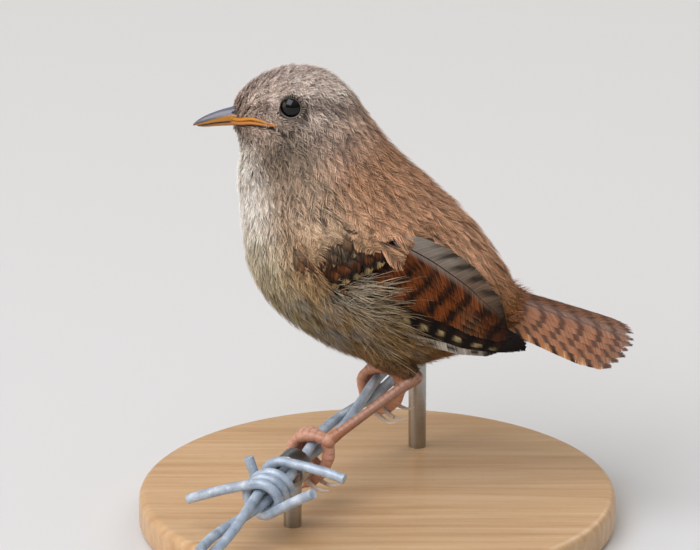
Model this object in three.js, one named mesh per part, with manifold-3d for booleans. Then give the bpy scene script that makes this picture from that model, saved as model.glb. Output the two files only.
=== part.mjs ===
// A Eurasian wren, life size, on a short cut length of barbed wire that a plain display stand holds up.
// Millimetres, +Z up. The bird faces -X, its left side is at -Y, and the origin is the middle of the
// base's underside.
import * as THREE from "three";
import { mergeVertices } from "three/addons/utils/BufferGeometryUtils.js";
import Module from "manifold-3d";

const wasm = await Module();
wasm.setup();

// Driving sizes
const GAP = 0.3; // between pieces that touch
const BASE_RADIUS = 40;
const BASE_THICKNESS = 6;
const BASE_EDGE = 1.4;
const PERCH_HEIGHT = 19.5; // from the floor to the wire between the feet
const BIRD_OFFSET = -5; // brings the bird's weight over the middle of the base
const WIRE_HEADING = THREE.MathUtils.degToRad(60.7);
const WIRE_CLIMB = THREE.MathUtils.degToRad(10);
const WIRE_NEAR = -50; // the cut ends, measured along the wire from the middle of the feet
const WIRE_FAR = 33;
const STRAND_RADIUS = 0.85;
const STRAND_OFFSET = 1.0;
const STRAND_TWIST = 40; // length of one full turn of the two strands
const STRAND_PHASE = THREE.MathUtils.degToRad(14);
const PAIR_RADIUS = STRAND_OFFSET + STRAND_RADIUS;
const BARB_RADIUS = 0.85;
const BARB_COIL_RADIUS = PAIR_RADIUS + 0.25 + BARB_RADIUS;
const BARB_START = -30.2;
const BARB_ADVANCE = 3.9; // along the wire in one turn, for two barbs wound side by side
const ROD_RADIUS = 1.5;
const ROD_DEPTH = 3; // of the rod's foot in the base
const SLEEVE_LENGTH = 3.2;
const SLEEVE_WALL = 0.8;
const ROD_PLACES = { near: -18.9, far: 24.5 };
const FOOT_SPACING = 24.5;
const TARSUS_RADIUS = 0.82;
const EYE_RADIUS = 2.1;
const EYE_OPENING = 1.75;
const EYE_SIDES = 14;
const EYE_BANDS = 8;
const TAIL_LENGTH = 30.3;
const TAIL_PITCH = THREE.MathUtils.degToRad(-19);
const TAIL_ROLL = THREE.MathUtils.degToRad(15);
const TAIL_FEATHERS = 12;
const VANE_THICKNESS = 0.5;
const TIP_THICKNESS = 0.35;
const ROOT_SINK = 0.35;
const VANE_FLOOR = 0.25;

// Places in the bird's own frame, whose origin is the middle of the wire between the feet
const EYE = new THREE.Vector3(-9.15, -5.45, 56.9);
const EYE_AXIS = new THREE.Vector3(-0.22, -1, 0.16).normalize();
const WING_BEND = new THREE.Vector2(-7.9, 37.3);
const WING_TIP = new THREE.Vector2(29.4, 14.7);
const TAIL_ROOT = new THREE.Vector3(18.7, 0, 22.3);
const ANKLE = { left: new THREE.Vector3(11.4, -9, 10.1), right: new THREE.Vector3(21.4, 7.6, 17) };
const KNEE = { left: new THREE.Vector3(2, -7.5, 19), right: new THREE.Vector3(11, 6.6, 24) };

// Colours
const skins = {
  plumage: new THREE.MeshStandardMaterial({ color: "#8a6244", roughness: 0.9 }),
  throat: new THREE.MeshStandardMaterial({ color: "#a58a6e", roughness: 0.9 }),
  wing: new THREE.MeshStandardMaterial({ color: "#6d4227", roughness: 0.75 }),
  tail: new THREE.MeshStandardMaterial({ color: "#8a512c", roughness: 0.75 }),
  bill: new THREE.MeshStandardMaterial({ color: "#7d6f66", roughness: 0.45 }),
  gape: new THREE.MeshStandardMaterial({ color: "#d08a1e", roughness: 0.5 }),
  eye: new THREE.MeshStandardMaterial({ color: "#0a0807", roughness: 0.06 }),
  leg: new THREE.MeshStandardMaterial({ color: "#b9764d", roughness: 0.6 }),
  wire: new THREE.MeshStandardMaterial({ color: "#9eaab3", roughness: 0.55, metalness: 0.7 }),
  rod: new THREE.MeshStandardMaterial({ color: "#8f8a80", roughness: 0.35, metalness: 1 }),
  wood: new THREE.MeshStandardMaterial({ color: "#b79a74", roughness: 0.6 }),
};

const vec = (x, y, z) => new THREE.Vector3(x, y, z);
const smooth = (t) => t * t * (3 - 2 * t);
const clamp01 = (t) => Math.min(1, Math.max(0, t));

// A value read from a list of [place, value] pairs, eased between them.
function along(pairs, at) {
  if (at <= pairs[0][0]) return pairs[0][1];
  for (let i = 1; i < pairs.length; i++) {
    const [a, va] = pairs[i - 1];
    const [b, vb] = pairs[i];
    if (at <= b) return va + (vb - va) * smooth((at - a) / (b - a));
  }
  return pairs[pairs.length - 1][1];
}

// Turns a geometry into a solid, and back again.
function solidOf(geometry) {
  const bare = new THREE.BufferGeometry();
  bare.setAttribute("position", geometry.getAttribute("position"));
  if (geometry.index) bare.setIndex(geometry.index);
  const merged = mergeVertices(bare, 1e-4);
  const mesh = new wasm.Mesh({
    numProp: 3,
    vertProperties: new Float32Array(merged.attributes.position.array),
    triVerts: new Uint32Array(merged.index.array),
  });
  return new wasm.Manifold(mesh);
}

function geometryOf(solid) {
  const mesh = solid.getMesh();
  const geometry = new THREE.BufferGeometry();
  const points = new Float32Array(mesh.numVert * 3);
  for (let i = 0; i < mesh.numVert; i++) {
    points.set(mesh.vertProperties.subarray(i * mesh.numProp, i * mesh.numProp + 3), i * 3);
  }
  geometry.setAttribute("position", new THREE.BufferAttribute(points, 3));
  geometry.setIndex(new THREE.BufferAttribute(new Uint32Array(mesh.triVerts), 1));
  geometry.computeVertexNormals();
  return geometry;
}

// The largest closed body of a solid, which drops loose scraps.
function largest(solid) {
  const bodies = solid.decompose();
  bodies.sort((a, b) => b.volume() - a.volume());
  return bodies[0];
}

const join = (solids) => solids.reduce((all, one) => all.add(one));

// A closed solid from points and faces, turned to face outwards if need be.
function closed(points, faces) {
  let volume = 0;
  for (const [a, b, c] of faces) {
    volume += points[a].dot(points[b].clone().cross(points[c]));
  }
  const index = volume < 0 ? faces.map(([a, b, c]) => [a, c, b]) : faces;
  const geometry = new THREE.BufferGeometry().setFromPoints(points);
  geometry.setIndex(index.flat());
  return solidOf(geometry);
}

// Skins a row of rings, each with the same number of points, and closes both ends.
function loft(rings) {
  const around = rings[0].length;
  const points = rings.flat();
  const faces = [];
  for (let i = 0; i + 1 < rings.length; i++) {
    for (let j = 0; j < around; j++) {
      const a = i * around + j;
      const b = i * around + ((j + 1) % around);
      faces.push([a, b, b + around], [a, b + around, a + around]);
    }
  }
  const cap = (ring, start, flip) => {
    const centre = ring.reduce((sum, p) => sum.add(p), vec(0, 0, 0)).multiplyScalar(1 / around);
    points.push(centre);
    for (let j = 0; j < around; j++) {
      const a = start + j;
      const b = start + ((j + 1) % around);
      faces.push(flip ? [b, a, points.length - 1] : [a, b, points.length - 1]);
    }
  };
  cap(rings[0], 0, true);
  cap(rings[rings.length - 1], (rings.length - 1) * around, false);
  return closed(points, faces);
}

// A round tube through a few points, with a radius at each. grow widens and lengthens it.
function tube(path, radii, { sides = 8, steps = 12, grow = 0 } = {}) {
  const curve = new THREE.CatmullRomCurve3(path, false, "centripetal");
  const frames = curve.computeFrenetFrames(steps, false);
  const rings = [];
  for (let i = 0; i <= steps; i++) {
    const t = i / steps;
    const place = curve.getPointAt(t);
    const share = curve.getUtoTmapping(t) * (radii.length - 1);
    const k = Math.min(radii.length - 2, Math.floor(share));
    const radius = radii[k] + (radii[k + 1] - radii[k]) * (share - k) + grow;
    if (grow && i === 0) place.addScaledVector(frames.tangents[0], -grow);
    if (grow && i === steps) place.addScaledVector(frames.tangents[steps], grow);
    rings.push(
      Array.from({ length: sides }, (_, j) => {
        const angle = (2 * Math.PI * j) / sides;
        return place
          .clone()
          .addScaledVector(frames.normals[i], Math.cos(angle) * radius)
          .addScaledVector(frames.binormals[i], Math.sin(angle) * radius);
      }),
    );
  }
  return loft(rings);
}

function ball(centre, radius, width = 16, height = 12) {
  const sphere = new THREE.SphereGeometry(radius, width, height);
  sphere.translate(centre.x, centre.y, centre.z);
  return solidOf(sphere);
}

const mirrored = (solid) => solid.mirror([0, 1, 0]);

// Body. Each station is a chord of the side view, from the back to the breast, with the half-width
// of the flattened oval that stands on it.
const stations = [
  { back: [-19.0, 54.9], front: [-18.9, 51.4], half: 2.0 },
  { back: [-17.5, 57.6], front: [-18.4, 49.9], half: 4.4 },
  { back: [-14.0, 60.3], front: [-18.0, 48.2], half: 6.2 },
  { back: [-9.2, 61.7], front: [-17.9, 46.4], half: 7.2 },
  { back: [-3.8, 61.0], front: [-18.2, 44.3], half: 7.9 },
  { back: [0.5, 57.9], front: [-18.5, 41.8], half: 8.8 },
  { back: [3.6, 53.2], front: [-18.1, 37.8], half: 10.3 },
  { back: [7.8, 47.6], front: [-17.7, 32.9], half: 12.6 },
  { back: [13.6, 41.9], front: [-16.8, 27.2], half: 14.6 },
  { back: [19.3, 36.3], front: [-13.8, 21.2], half: 15.4 },
  { back: [23.4, 31.3], front: [-7.6, 15.6], half: 15.0 },
  { back: [26.5, 26.3], front: [0.0, 11.6], half: 13.2 },
  { back: [28.2, 22.8], front: [9.0, 9.9], half: 10.4 },
  { back: [29.0, 20.9], front: [17.1, 11.6], half: 7.6 },
  { back: [29.6, 19.6], front: [25.6, 13.4], half: 5.3 },
];
const HEAD_NECK = 4.75; // places of the cuts, counted in stations
const NECK_TORSO = 6.6;
const BODY_SIDES = 24;
const RINGS_PER_STATION = 2;

const readings = (read) => new THREE.CatmullRomCurve3(stations.map(read), false, "centripetal");
const backLine = readings((s) => vec(s.back[0], 0, s.back[1]));
const frontLine = readings((s) => vec(s.front[0], 0, s.front[1]));
const halfLine = readings((s, i) => vec(i * 3, s.half, 0));

function chordAt(station) {
  const t = station / (stations.length - 1);
  return { back: backLine.getPoint(t), front: frontLine.getPoint(t), half: halfLine.getPoint(t).y };
}

function bodyRing(station) {
  const { back, front, half } = chordAt(station);
  const middle = back.clone().add(front).multiplyScalar(0.5);
  const reach = back.clone().sub(front).multiplyScalar(0.5);
  return Array.from({ length: BODY_SIDES }, (_, j) => {
    const angle = (2 * Math.PI * (j + 0.5)) / BODY_SIDES;
    return middle
      .clone()
      .addScaledVector(reach, Math.cos(angle))
      .add(vec(0, half * Math.sin(angle), 0));
  });
}

function wholeBody() {
  const rings = [];
  const count = (stations.length - 1) * RINGS_PER_STATION;
  for (let i = 0; i <= count; i++) rings.push(bodyRing(i / RINGS_PER_STATION));
  return loft(rings);
}

// The half of a solid ahead of a chord's plane, or behind it, with half the gap taken off.
function cutAt(solid, station, ahead) {
  const { back, front } = chordAt(station);
  const rise = back.clone().sub(front).normalize();
  const normal = vec(-rise.z, 0, rise.x);
  const side = ahead ? 1 : -1;
  normal.multiplyScalar(side);
  return solid.trimByPlane(normal.toArray(), normal.dot(front) + GAP / 2);
}

// Bill. Each section is [x, top, bottom, half-width], from the tip back into the head.
const upperBill = [
  [-25.6, 51.55, 51.35, 0.15],
  [-24.9, 52.2, 51.5, 0.45],
  [-23.9, 52.85, 51.75, 0.72],
  [-21.6, 53.85, 52.25, 1.1],
  [-19.0, 54.6, 52.6, 1.45],
  [-16.9, 55.0, 52.85, 1.8],
  [-14.0, 55.0, 53.2, 2.1],
];
const lowerBill = [
  [-24.9, 51.35, 51.2, 0.15],
  [-23.9, 51.5, 51.1, 0.5],
  [-21.9, 51.9, 51.25, 0.85],
  [-19.4, 52.25, 51.4, 1.2],
  [-16.9, 52.55, 51.5, 1.6],
  [-14.0, 52.9, 51.6, 1.9],
];
const GAPE_START = vec(-18.2, -1.5, 53.15);
const GAPE_CORNER = vec(-11.4, -6.35, 54.35);
const GAPE_RADIUS = 0.42;

function billSolid(sections, flatBelow, grow = 0) {
  const rings = sections.map(([x, top, bottom, half], i) => {
    const shift = grow * (i === 0 ? -1 : 1);
    const high = top + grow;
    const low = bottom - grow;
    const wide = half + grow;
    const flat = flatBelow ? low : high;
    const round = flatBelow ? high - low : low - high;
    return Array.from({ length: 8 }, (_, j) => {
      const angle = (Math.PI * j) / 7;
      return vec(x + shift, wide * Math.cos(angle), flat + round * Math.sin(angle));
    });
  });
  return loft(rings);
}

function gapeEdge(upper, grow = 0) {
  const lift = vec(0, 0, upper ? 0 : -2 * GAPE_RADIUS - GAP);
  const path = [
    GAPE_START,
    GAPE_START.clone().lerp(GAPE_CORNER, 0.5).add(vec(-0.5, -0.55, 0)),
    GAPE_CORNER.clone().add(vec(0, 0, upper ? 0 : 0.1)),
  ].map((p) => p.clone().add(lift));
  const edge = tube(path, [GAPE_RADIUS, GAPE_RADIUS, GAPE_RADIUS * 0.75], { sides: 6, steps: 4, grow });
  return edge.add(mirrored(edge));
}

function makeBill(upper, grow = 0) {
  const horn = billSolid(upper ? upperBill : lowerBill, upper, grow);
  let bill = horn.add(gapeEdge(upper, grow));
  if (upper && !grow) {
    const nostril = tube([vec(-19.3, -1.5, 53.75), vec(-17.9, -1.75, 53.95)], [0.26, 0.34], {
      sides: 7,
      steps: 2,
    });
    bill = bill.subtract(nostril).subtract(mirrored(nostril));
  }
  return largest(bill);
}

// Eye: a ball in a socket, inside a raised rim of lid.
function lid() {
  const rim = new THREE.TorusGeometry(EYE_OPENING + 0.12, 0.34, 5, EYE_SIDES);
  rim.applyQuaternion(new THREE.Quaternion().setFromUnitVectors(vec(0, 0, 1), EYE_AXIS));
  const place = EYE.clone().addScaledVector(EYE_AXIS, Math.sqrt(EYE_RADIUS ** 2 - EYE_OPENING ** 2) + 0.22);
  rim.translate(place.x, place.y, place.z);
  return solidOf(rim);
}

// Wing. A place on the wing is [along, across, height]: along from the bend to the tip, across
// towards the back, and the height stands out from the sheet that the wing lies on.
const wingAlong = WING_TIP.clone().sub(WING_BEND).normalize();
const wingAcross = new THREE.Vector2(-wingAlong.y, wingAlong.x);
const sheetHalf = [
  [-4, 11.6],
  [4, 12.9],
  [14, 13.5],
  [24, 12.7],
  [32, 10.9],
  [40, 8.6],
  [47, 7.2],
];
const sheetMiddle = [
  [0, 3],
  [28, -4.4],
  [36, -3.6],
  [46, -1],
];
const SHEET_ROUND = 17;

function sheetDepth(p, q) {
  const across = q - along(sheetMiddle, p);
  return along(sheetHalf, p) - (across * across) / (2 * SHEET_ROUND);
}

function onWing(p, q, height) {
  const step = 0.5;
  const slopeP = (sheetDepth(p + step, q) - sheetDepth(p - step, q)) / (2 * step);
  const slopeQ = (sheetDepth(p, q + step) - sheetDepth(p, q - step)) / (2 * step);
  const normal = vec(-slopeP, -slopeQ, 1).normalize();
  const pp = p + normal.x * height;
  const qq = q + normal.y * height;
  const out = sheetDepth(p, q) + normal.z * height;
  return vec(
    WING_BEND.x + pp * wingAlong.x + qq * wingAcross.x,
    -out,
    WING_BEND.y + pp * wingAlong.y + qq * wingAcross.y,
  );
}

// A closed plate over rows of [along, across] points. thickness(i, j) gives its low and high face
// there, and both faces are split alike.
function plate(place, rows, thickness) {
  const across = rows[0].length;
  const under = rows.length * across;
  const points = [];
  const faces = [];
  for (const face of [1, 0]) {
    rows.forEach((row, i) => {
      row.forEach(([p, q], j) => points.push(place(p, q, thickness(i, j)[face])));
    });
  }
  for (let i = 0; i + 1 < rows.length; i++) {
    for (let j = 0; j + 1 < across; j++) {
      const a = i * across + j;
      const b = a + across;
      faces.push([a, a + 1, b + 1], [a, b + 1, b]);
      faces.push([under + a, under + b + 1, under + a + 1], [under + a, under + b, under + b + 1]);
    }
  }
  const rim = [];
  for (let j = 0; j < across; j++) rim.push(j);
  for (let i = 1; i < rows.length; i++) rim.push(i * across + across - 1);
  for (let j = across - 2; j >= 0; j--) rim.push((rows.length - 1) * across + j);
  for (let i = rows.length - 2; i > 0; i--) rim.push(i * across);
  rim.forEach((a, i) => {
    const b = rim[(i + 1) % rim.length];
    faces.push([a, under + a, under + b], [a, under + b, b]);
  });
  return closed(points, faces);
}

// The rows of a plate from an outline of [along, low edge, high edge].
function spanRows(outline, columns = 4) {
  return outline.map(([p, from, to]) =>
    Array.from({ length: columns + 1 }, (_, j) => [p, from + ((to - from) * j) / columns]),
  );
}

// A feather: a long blade, its outer edge lifted clear and its inner edge tucked under the next
// one. root and tip are [along, across], and the blade's rows are [share of length, share of width].
const longBlade = [
  [0, 0.5],
  [0.25, 0.9],
  [0.5, 1],
  [0.75, 1],
  [0.93, 0.7],
  [1, 0.3],
];
const shortBlade = [
  [0, 0.6],
  [0.5, 1],
  [0.86, 0.85],
  [1, 0.35],
];

function feather(place, { root, tip, half, lift, tuck, bend = 0, blade = longBlade }) {
  const run = new THREE.Vector2(tip[0] - root[0], tip[1] - root[1]);
  const side = new THREE.Vector2(-run.y, run.x).normalize();
  const rows = blade.map(([t, share]) =>
    [-1, 1].map((edge) => {
      const off = edge * half * share + bend * Math.sin(Math.PI * t);
      return [root[0] + run.x * t + side.x * off, root[1] + run.y * t + side.y * off];
    }),
  );
  return plate(place, rows, (i, j) => {
    const last = i === blade.length - 1;
    const level = [lift, tuck][j] - (i === 0 ? ROOT_SINK : 0);
    const thick = last ? TIP_THICKNESS : VANE_THICKNESS;
    return [Math.max(level - thick, VANE_FLOOR), Math.max(level, VANE_FLOOR + ROOT_SINK)];
  });
}

// The feathers of one wing. Counted from the outermost primary, lowest, to the innermost tertial.
const primaryTips = [
  [31.5, -3.7],
  [36, -2.8],
  [39.8, -1.9],
  [42.4, -1],
  [43.9, -0.1],
  [43.3, 0.6],
];

function wingFeathers() {
  const list = [];
  primaryTips.forEach((tip, i) => {
    const root = [8 + 0.6 * i, -4.3 + 0.75 * i];
    list.push({ root, tip, half: 1.35, lift: 0.78 + 0.08 * i, tuck: 0.4, bend: -0.5 });
  });
  for (let i = 0; i < 5; i++) {
    const root = [11 + 0.9 * i, 0.1 + 1.3 * i];
    const tip = [42.3 - 0.8 * i, 1.2 + 0.5 * i];
    list.push({ root, tip, half: 1.75, lift: 1.28 + 0.06 * i, tuck: 0.75, bend: 0.42 * i });
  }
  for (let i = 0; i < 3; i++) {
    const root = [14 + 0.6 * i, 4.9 + 0.8 * i];
    const tip = [39 - 3.9 * i, 3 + 2.1 * i];
    list.push({ root, tip, half: 2.2, lift: 1.75 + 0.1 * i, tuck: 1.0, bend: 1.5 - 0.4 * i });
  }
  for (let i = 0; i < 6; i++) {
    const root = [5.5 + 0.5 * i, -3.5 + 1.7 * i];
    const tip = [13.4 + 0.85 * i, -3.5 + 1.75 * i];
    list.push({ root, tip, half: 1.45, lift: 2.1, tuck: 1.45, blade: shortBlade });
  }
  for (let i = 0; i < 4; i++) {
    const root = [2, -2 + 2.2 * i];
    const tip = [8.2 + 0.7 * i, -2.6 + 2.4 * i];
    list.push({ root, tip, half: 1.7, lift: 2.5, tuck: 1.9, blade: shortBlade });
  }
  for (let i = 0; i < 2; i++) {
    const root = [5, -3.6 - 0.8 * i];
    const tip = [17 - 4 * i, -4.3 - 0.8 * i];
    list.push({ root, tip, half: 1.25, lift: 1.3, tuck: 1.0, blade: shortBlade });
  }
  return list;
}

// The arm of the wing with its smallest coverts, a smooth pad that the feathers grow from
const armOutline = [
  [-1.5, -1.5, 3],
  [1.5, -4, 5.6],
  [5, -5.2, 7.2],
  [9, -5.2, 8.2],
  [13, -3.8, 8.6],
  [16.5, -1.6, 8.2],
];
const armHeights = [0.9, 1.9, 2.1, 1.5, 1.1, 0.8];
const armCrown = [0.45, 0.9, 1, 0.9, 0.5];

function makeWing() {
  const arm = plate(onWing, spanRows(armOutline), (i, j) => [0, armHeights[i] * armCrown[j]]);
  return largest(join([arm, ...wingFeathers().map((one) => feather(onWing, one))]));
}

// What the wing needs cleared from the torso beneath it: [along, low edge, high edge]
const bedOutline = [
  [-2.2, -2.2, 3.8],
  [1.5, -5, 6.6],
  [6, -6.6, 8.4],
  [11, -6.8, 9.4],
  [16, -6.4, 10.2],
  [21, -5.9, 10.6],
  [26, -5.7, 10.5],
  [31, -5, 9.5],
  [36, -4.2, 7.5],
  [40, -3.3, 5],
  [43, -2, 3],
  [44.8, -1.2, 1.6],
];
const BED_HEIGHT = 9;

function wingBed() {
  return plate(onWing, spanRows(bedOutline), () => [-GAP, BED_HEIGHT]);
}

// Tail. A place on the tail is [along, across, height].
const tailFrame = (() => {
  const out = vec(Math.cos(TAIL_PITCH), 0, Math.sin(TAIL_PITCH));
  const roll = new THREE.Quaternion().setFromAxisAngle(out, TAIL_ROLL);
  const side = vec(0, 1, 0).applyQuaternion(roll);
  return { out, side, up: out.clone().cross(side).negate().normalize() };
})();
if (tailFrame.up.z < 0) tailFrame.up.negate();
const TAIL_ARCH = 16;

function onTail(u, v, height) {
  return TAIL_ROOT.clone()
    .addScaledVector(tailFrame.out, u)
    .addScaledVector(tailFrame.side, v)
    .addScaledVector(tailFrame.up, height - (v * v) / (2 * TAIL_ARCH));
}

// Tail feathers, counted outwards from the middle pair, which lies on top
function tailFeathers() {
  const list = [];
  for (let i = TAIL_FEATHERS / 2 - 1; i >= 0; i--) {
    for (const side of [-1, 1]) {
      const spread = i + (side > 0 ? 0.1 : 0);
      list.push({
        root: [0, side * (0.5 + 0.42 * i)],
        tip: [TAIL_LENGTH - 0.1 * spread * spread, side * (0.9 + 1.22 * spread)],
        half: 1.75,
        lift: side < 0 ? 1.6 - 0.2 * i : 1.8 - 0.2 * i,
        tuck: side < 0 ? 1.8 - 0.2 * i : 1.6 - 0.2 * i,
        bend: side * 0.12 * i,
        blade: shortBlade,
      });
    }
  }
  return list;
}

function makeTail() {
  const stock = plate(onTail, spanRows([[0, -2.6, 2.6], [7, -3.4, 3.4]], 2), () => [0, 1.2]);
  return largest(join([stock, ...tailFeathers().map((one) => feather(onTail, one))]));
}

const socketOutline = [
  [-GAP, -4.6, 4.6],
  [5, -5.4, 5.4],
  [10, -6.4, 6.4],
  [15, -7.4, 7.4],
];

function tailSocket() {
  return plate(onTail, spanRows(socketOutline), () => [-GAP, 2 + GAP]);
}

// Wire. A place by the wire is [s, back, up]: s along it, back towards the bird's tail.
const wireAxis = vec(
  Math.cos(WIRE_HEADING) * Math.cos(WIRE_CLIMB),
  Math.sin(WIRE_HEADING) * Math.cos(WIRE_CLIMB),
  Math.sin(WIRE_CLIMB),
);
const wireBack = vec(Math.sin(WIRE_HEADING), -Math.cos(WIRE_HEADING), 0);
const wireUp = wireBack.clone().cross(wireAxis);

function byWire(s, back, up) {
  return vec(0, 0, 0)
    .addScaledVector(wireAxis, s)
    .addScaledVector(wireBack, back)
    .addScaledVector(wireUp, up);
}

function strand(half) {
  const steps = 22;
  const path = Array.from({ length: steps + 1 }, (_, i) => {
    const s = WIRE_NEAR + ((WIRE_FAR - WIRE_NEAR) * i) / steps;
    const angle = STRAND_PHASE + (2 * Math.PI * s) / STRAND_TWIST + half * Math.PI;
    return byWire(s, STRAND_OFFSET * Math.cos(angle), STRAND_OFFSET * Math.sin(angle));
  });
  return tube(path, [STRAND_RADIUS, STRAND_RADIUS], { sides: 7, steps });
}

const barbs = {
  a: {
    angle: THREE.MathUtils.degToRad(109),
    turns: 2.05,
    start: BARB_START,
    ends: [13.4, 11.8],
    droop: [0.9, 1.3],
  },
  b: {
    angle: THREE.MathUtils.degToRad(-54),
    turns: 1.3,
    start: BARB_START - 0.2,
    ends: [11.2, 5.6],
    droop: [0.6, 0],
  },
};

// A barb: a straight cut end, some turns round both strands, and another straight end.
function barb({ angle, turns, start, ends, droop }) {
  const turnSteps = 10;
  const count = Math.round(turns * turnSteps);
  const at = (a) => [BARB_COIL_RADIUS * Math.cos(a), BARB_COIL_RADIUS * Math.sin(a)];
  const last = angle - 2 * Math.PI * turns;
  const lastS = start + BARB_ADVANCE * turns;
  const path = [];
  for (const out of [1, 0.5]) {
    const [x, y] = at(angle);
    const far = ends[0] * out;
    path.push(
      byWire(start - 0.25 * out, x - Math.sin(angle) * far, y + Math.cos(angle) * far - droop[0] * out),
    );
  }
  for (let i = 0; i <= count; i++) {
    const [x, y] = at(angle - (2 * Math.PI * turns * i) / count);
    path.push(byWire(start + (BARB_ADVANCE * turns * i) / count, x, y));
  }
  for (const out of [0.5, 1]) {
    const [x, y] = at(last);
    const far = ends[1] * out;
    path.push(
      byWire(lastS + 0.25 * out, x + Math.sin(last) * far, y - Math.cos(last) * far - droop[1] * out),
    );
  }
  return tube(path, [BARB_RADIUS, BARB_RADIUS], { sides: 7, steps: count + 6 });
}

// Stand: a round base and two rods, each ending in a sleeve round the wire.
function cylinder(radius, from, to, sides = 16) {
  const length = from.distanceTo(to);
  const shape = new THREE.CylinderGeometry(radius, radius, length, sides);
  const turn = new THREE.Quaternion().setFromUnitVectors(vec(0, 1, 0), to.clone().sub(from).normalize());
  shape.applyQuaternion(turn);
  const middle = from.clone().add(to).multiplyScalar(0.5);
  shape.translate(middle.x, middle.y, middle.z);
  return solidOf(shape);
}

const BASE_TOP = BASE_THICKNESS - PERCH_HEIGHT;

function rod(s) {
  const middle = byWire(s, 0, 0);
  const foot = vec(middle.x, middle.y, BASE_TOP - ROD_DEPTH + GAP);
  const stretch = (length) => [
    middle.clone().addScaledVector(wireAxis, -length / 2),
    middle.clone().addScaledVector(wireAxis, length / 2),
  ];
  const sleeve = cylinder(PAIR_RADIUS + GAP + SLEEVE_WALL, ...stretch(SLEEVE_LENGTH));
  const bore = cylinder(PAIR_RADIUS + GAP, ...stretch(SLEEVE_LENGTH * 3));
  return cylinder(ROD_RADIUS, foot, middle, 12).add(sleeve).subtract(bore);
}

function base() {
  const profile = [
    [0, 0],
    [BASE_RADIUS - 0.8, 0],
    [BASE_RADIUS, 0.8],
    [BASE_RADIUS, BASE_THICKNESS - BASE_EDGE],
    [BASE_RADIUS - BASE_EDGE * 0.3, BASE_THICKNESS - BASE_EDGE * 0.3],
    [BASE_RADIUS - BASE_EDGE, BASE_THICKNESS],
    [0, BASE_THICKNESS],
  ].map(([r, z]) => new THREE.Vector2(r, z));
  const disc = new THREE.LatheGeometry(profile, 44);
  disc.rotateX(Math.PI / 2);
  let solid = solidOf(disc);
  for (const s of Object.values(ROD_PLACES)) {
    const middle = byWire(s, 0, 0);
    const x = middle.x + BIRD_OFFSET;
    const hole = cylinder(
      ROD_RADIUS + GAP,
      vec(x, middle.y, BASE_THICKNESS - ROD_DEPTH),
      vec(x, middle.y, BASE_THICKNESS + 5),
      12,
    );
    solid = solid.subtract(hole);
  }
  return solid;
}

// Legs. The foot grips the wire: the toes' paths are [back, up] round the wire's own axis.
const FOOT_HUB = [3.3, 2.2];
const HUB_RADIUS = 1.15;
const ANKLE_RADIUS = 1.22;
const frontToe = [
  [3.2, 2.2],
  [1.6, 2.75],
  [-0.3, 2.92],
  [-1.9, 2.3],
  [-2.95, 1.0],
  [-3.25, -0.9],
  [-2.5, -3.0],
  [-0.7, -4.85],
];
const frontClaw = [
  [-0.7, -4.85],
  [1.0, -6.15],
  [2.9, -6.7],
  [4.5, -6.2],
];
const hindToe = [
  [3.2, 2.2],
  [3.4, 0.3],
  [2.9, -1.8],
  [1.9, -3.7],
  [0.2, -5.5],
  [-1.4, -6.6],
];
const hindClaw = [
  [-1.4, -6.6],
  [-2.6, -7.3],
  [-3.6, -7.4],
  [-4.5, -6.9],
];
const toes = [
  { name: "inner", toe: frontToe, claw: frontClaw, spread: 2.7, reach: 0.9, thick: 0.95 },
  { name: "middle", toe: frontToe, claw: frontClaw, spread: 0.35, reach: 1, thick: 1 },
  { name: "outer", toe: frontToe, claw: frontClaw, spread: -2.3, reach: 0.92, thick: 0.95 },
  { name: "hind", toe: hindToe, claw: hindClaw, spread: -0.9, reach: 1, thick: 1.1 },
];
const toeRadii = [0.95, 0.78, 0.74, 0.74, 0.74, 0.7, 0.64, 0.55];
const clawRadii = [0.46, 0.4, 0.28, 0.09];

function footPlace(side, s, back, up) {
  const grip = side === "left" ? -FOOT_SPACING / 2 : FOOT_SPACING / 2;
  const inward = side === "left" ? 1 : -1;
  return byWire(grip + inward * s, back, up);
}

function foot(side) {
  const pieces = [ball(footPlace(side, 0, ...FOOT_HUB), HUB_RADIUS, 10, 7)];
  for (const { toe, claw, spread, reach, thick } of toes) {
    const shape = (list, from, to) =>
      list.map(([back, up], i) => {
        const out = from + (to - from) * (i / (list.length - 1));
        const k = up > 0 ? 1 : reach;
        return footPlace(side, spread * out, back * k, up * k);
      });
    const radii = toeRadii.map((r) => r * thick);
    pieces.push(tube(shape(toe, 0, 1), radii, { sides: 6, steps: 7 }));
    pieces.push(tube(shape(claw, 1, 1.12), clawRadii, { sides: 4, steps: 4 }));
  }
  return largest(join(pieces));
}

function tarsus(side, grow = 0) {
  const hub = footPlace(side, 0, ...FOOT_HUB);
  const path = [ANKLE[side], ANKLE[side].clone().lerp(hub, 0.35), ANKLE[side].clone().lerp(hub, 0.7), hub];
  const radii = [1.0, TARSUS_RADIUS, TARSUS_RADIUS, 1.0].map((r) => r + grow);
  const shank = tube(path, radii, { sides: 8, steps: 6 });
  return shank.add(ball(ANKLE[side], ANKLE_RADIUS + grow, 10, 7)).subtract(ball(hub, HUB_RADIUS + GAP, 10, 7));
}

function thigh(side, grow = 0) {
  const knee = KNEE[side];
  const ankle = ANKLE[side];
  const bulge = knee.clone().lerp(ankle, 0.55).add(vec(-0.2, 0, -0.3));
  return tube([knee, bulge, ankle], [4.4, 3.0, 1.15], { sides: 10, steps: 5, grow });
}

// Assembly
const bird = new THREE.Group();
bird.position.set(BIRD_OFFSET, 0, PERCH_HEIGHT);

function addNode(parent, name, solid, material) {
  const mesh = new THREE.Mesh(geometryOf(solid), material);
  mesh.name = name;
  parent.add(mesh);
}

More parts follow.
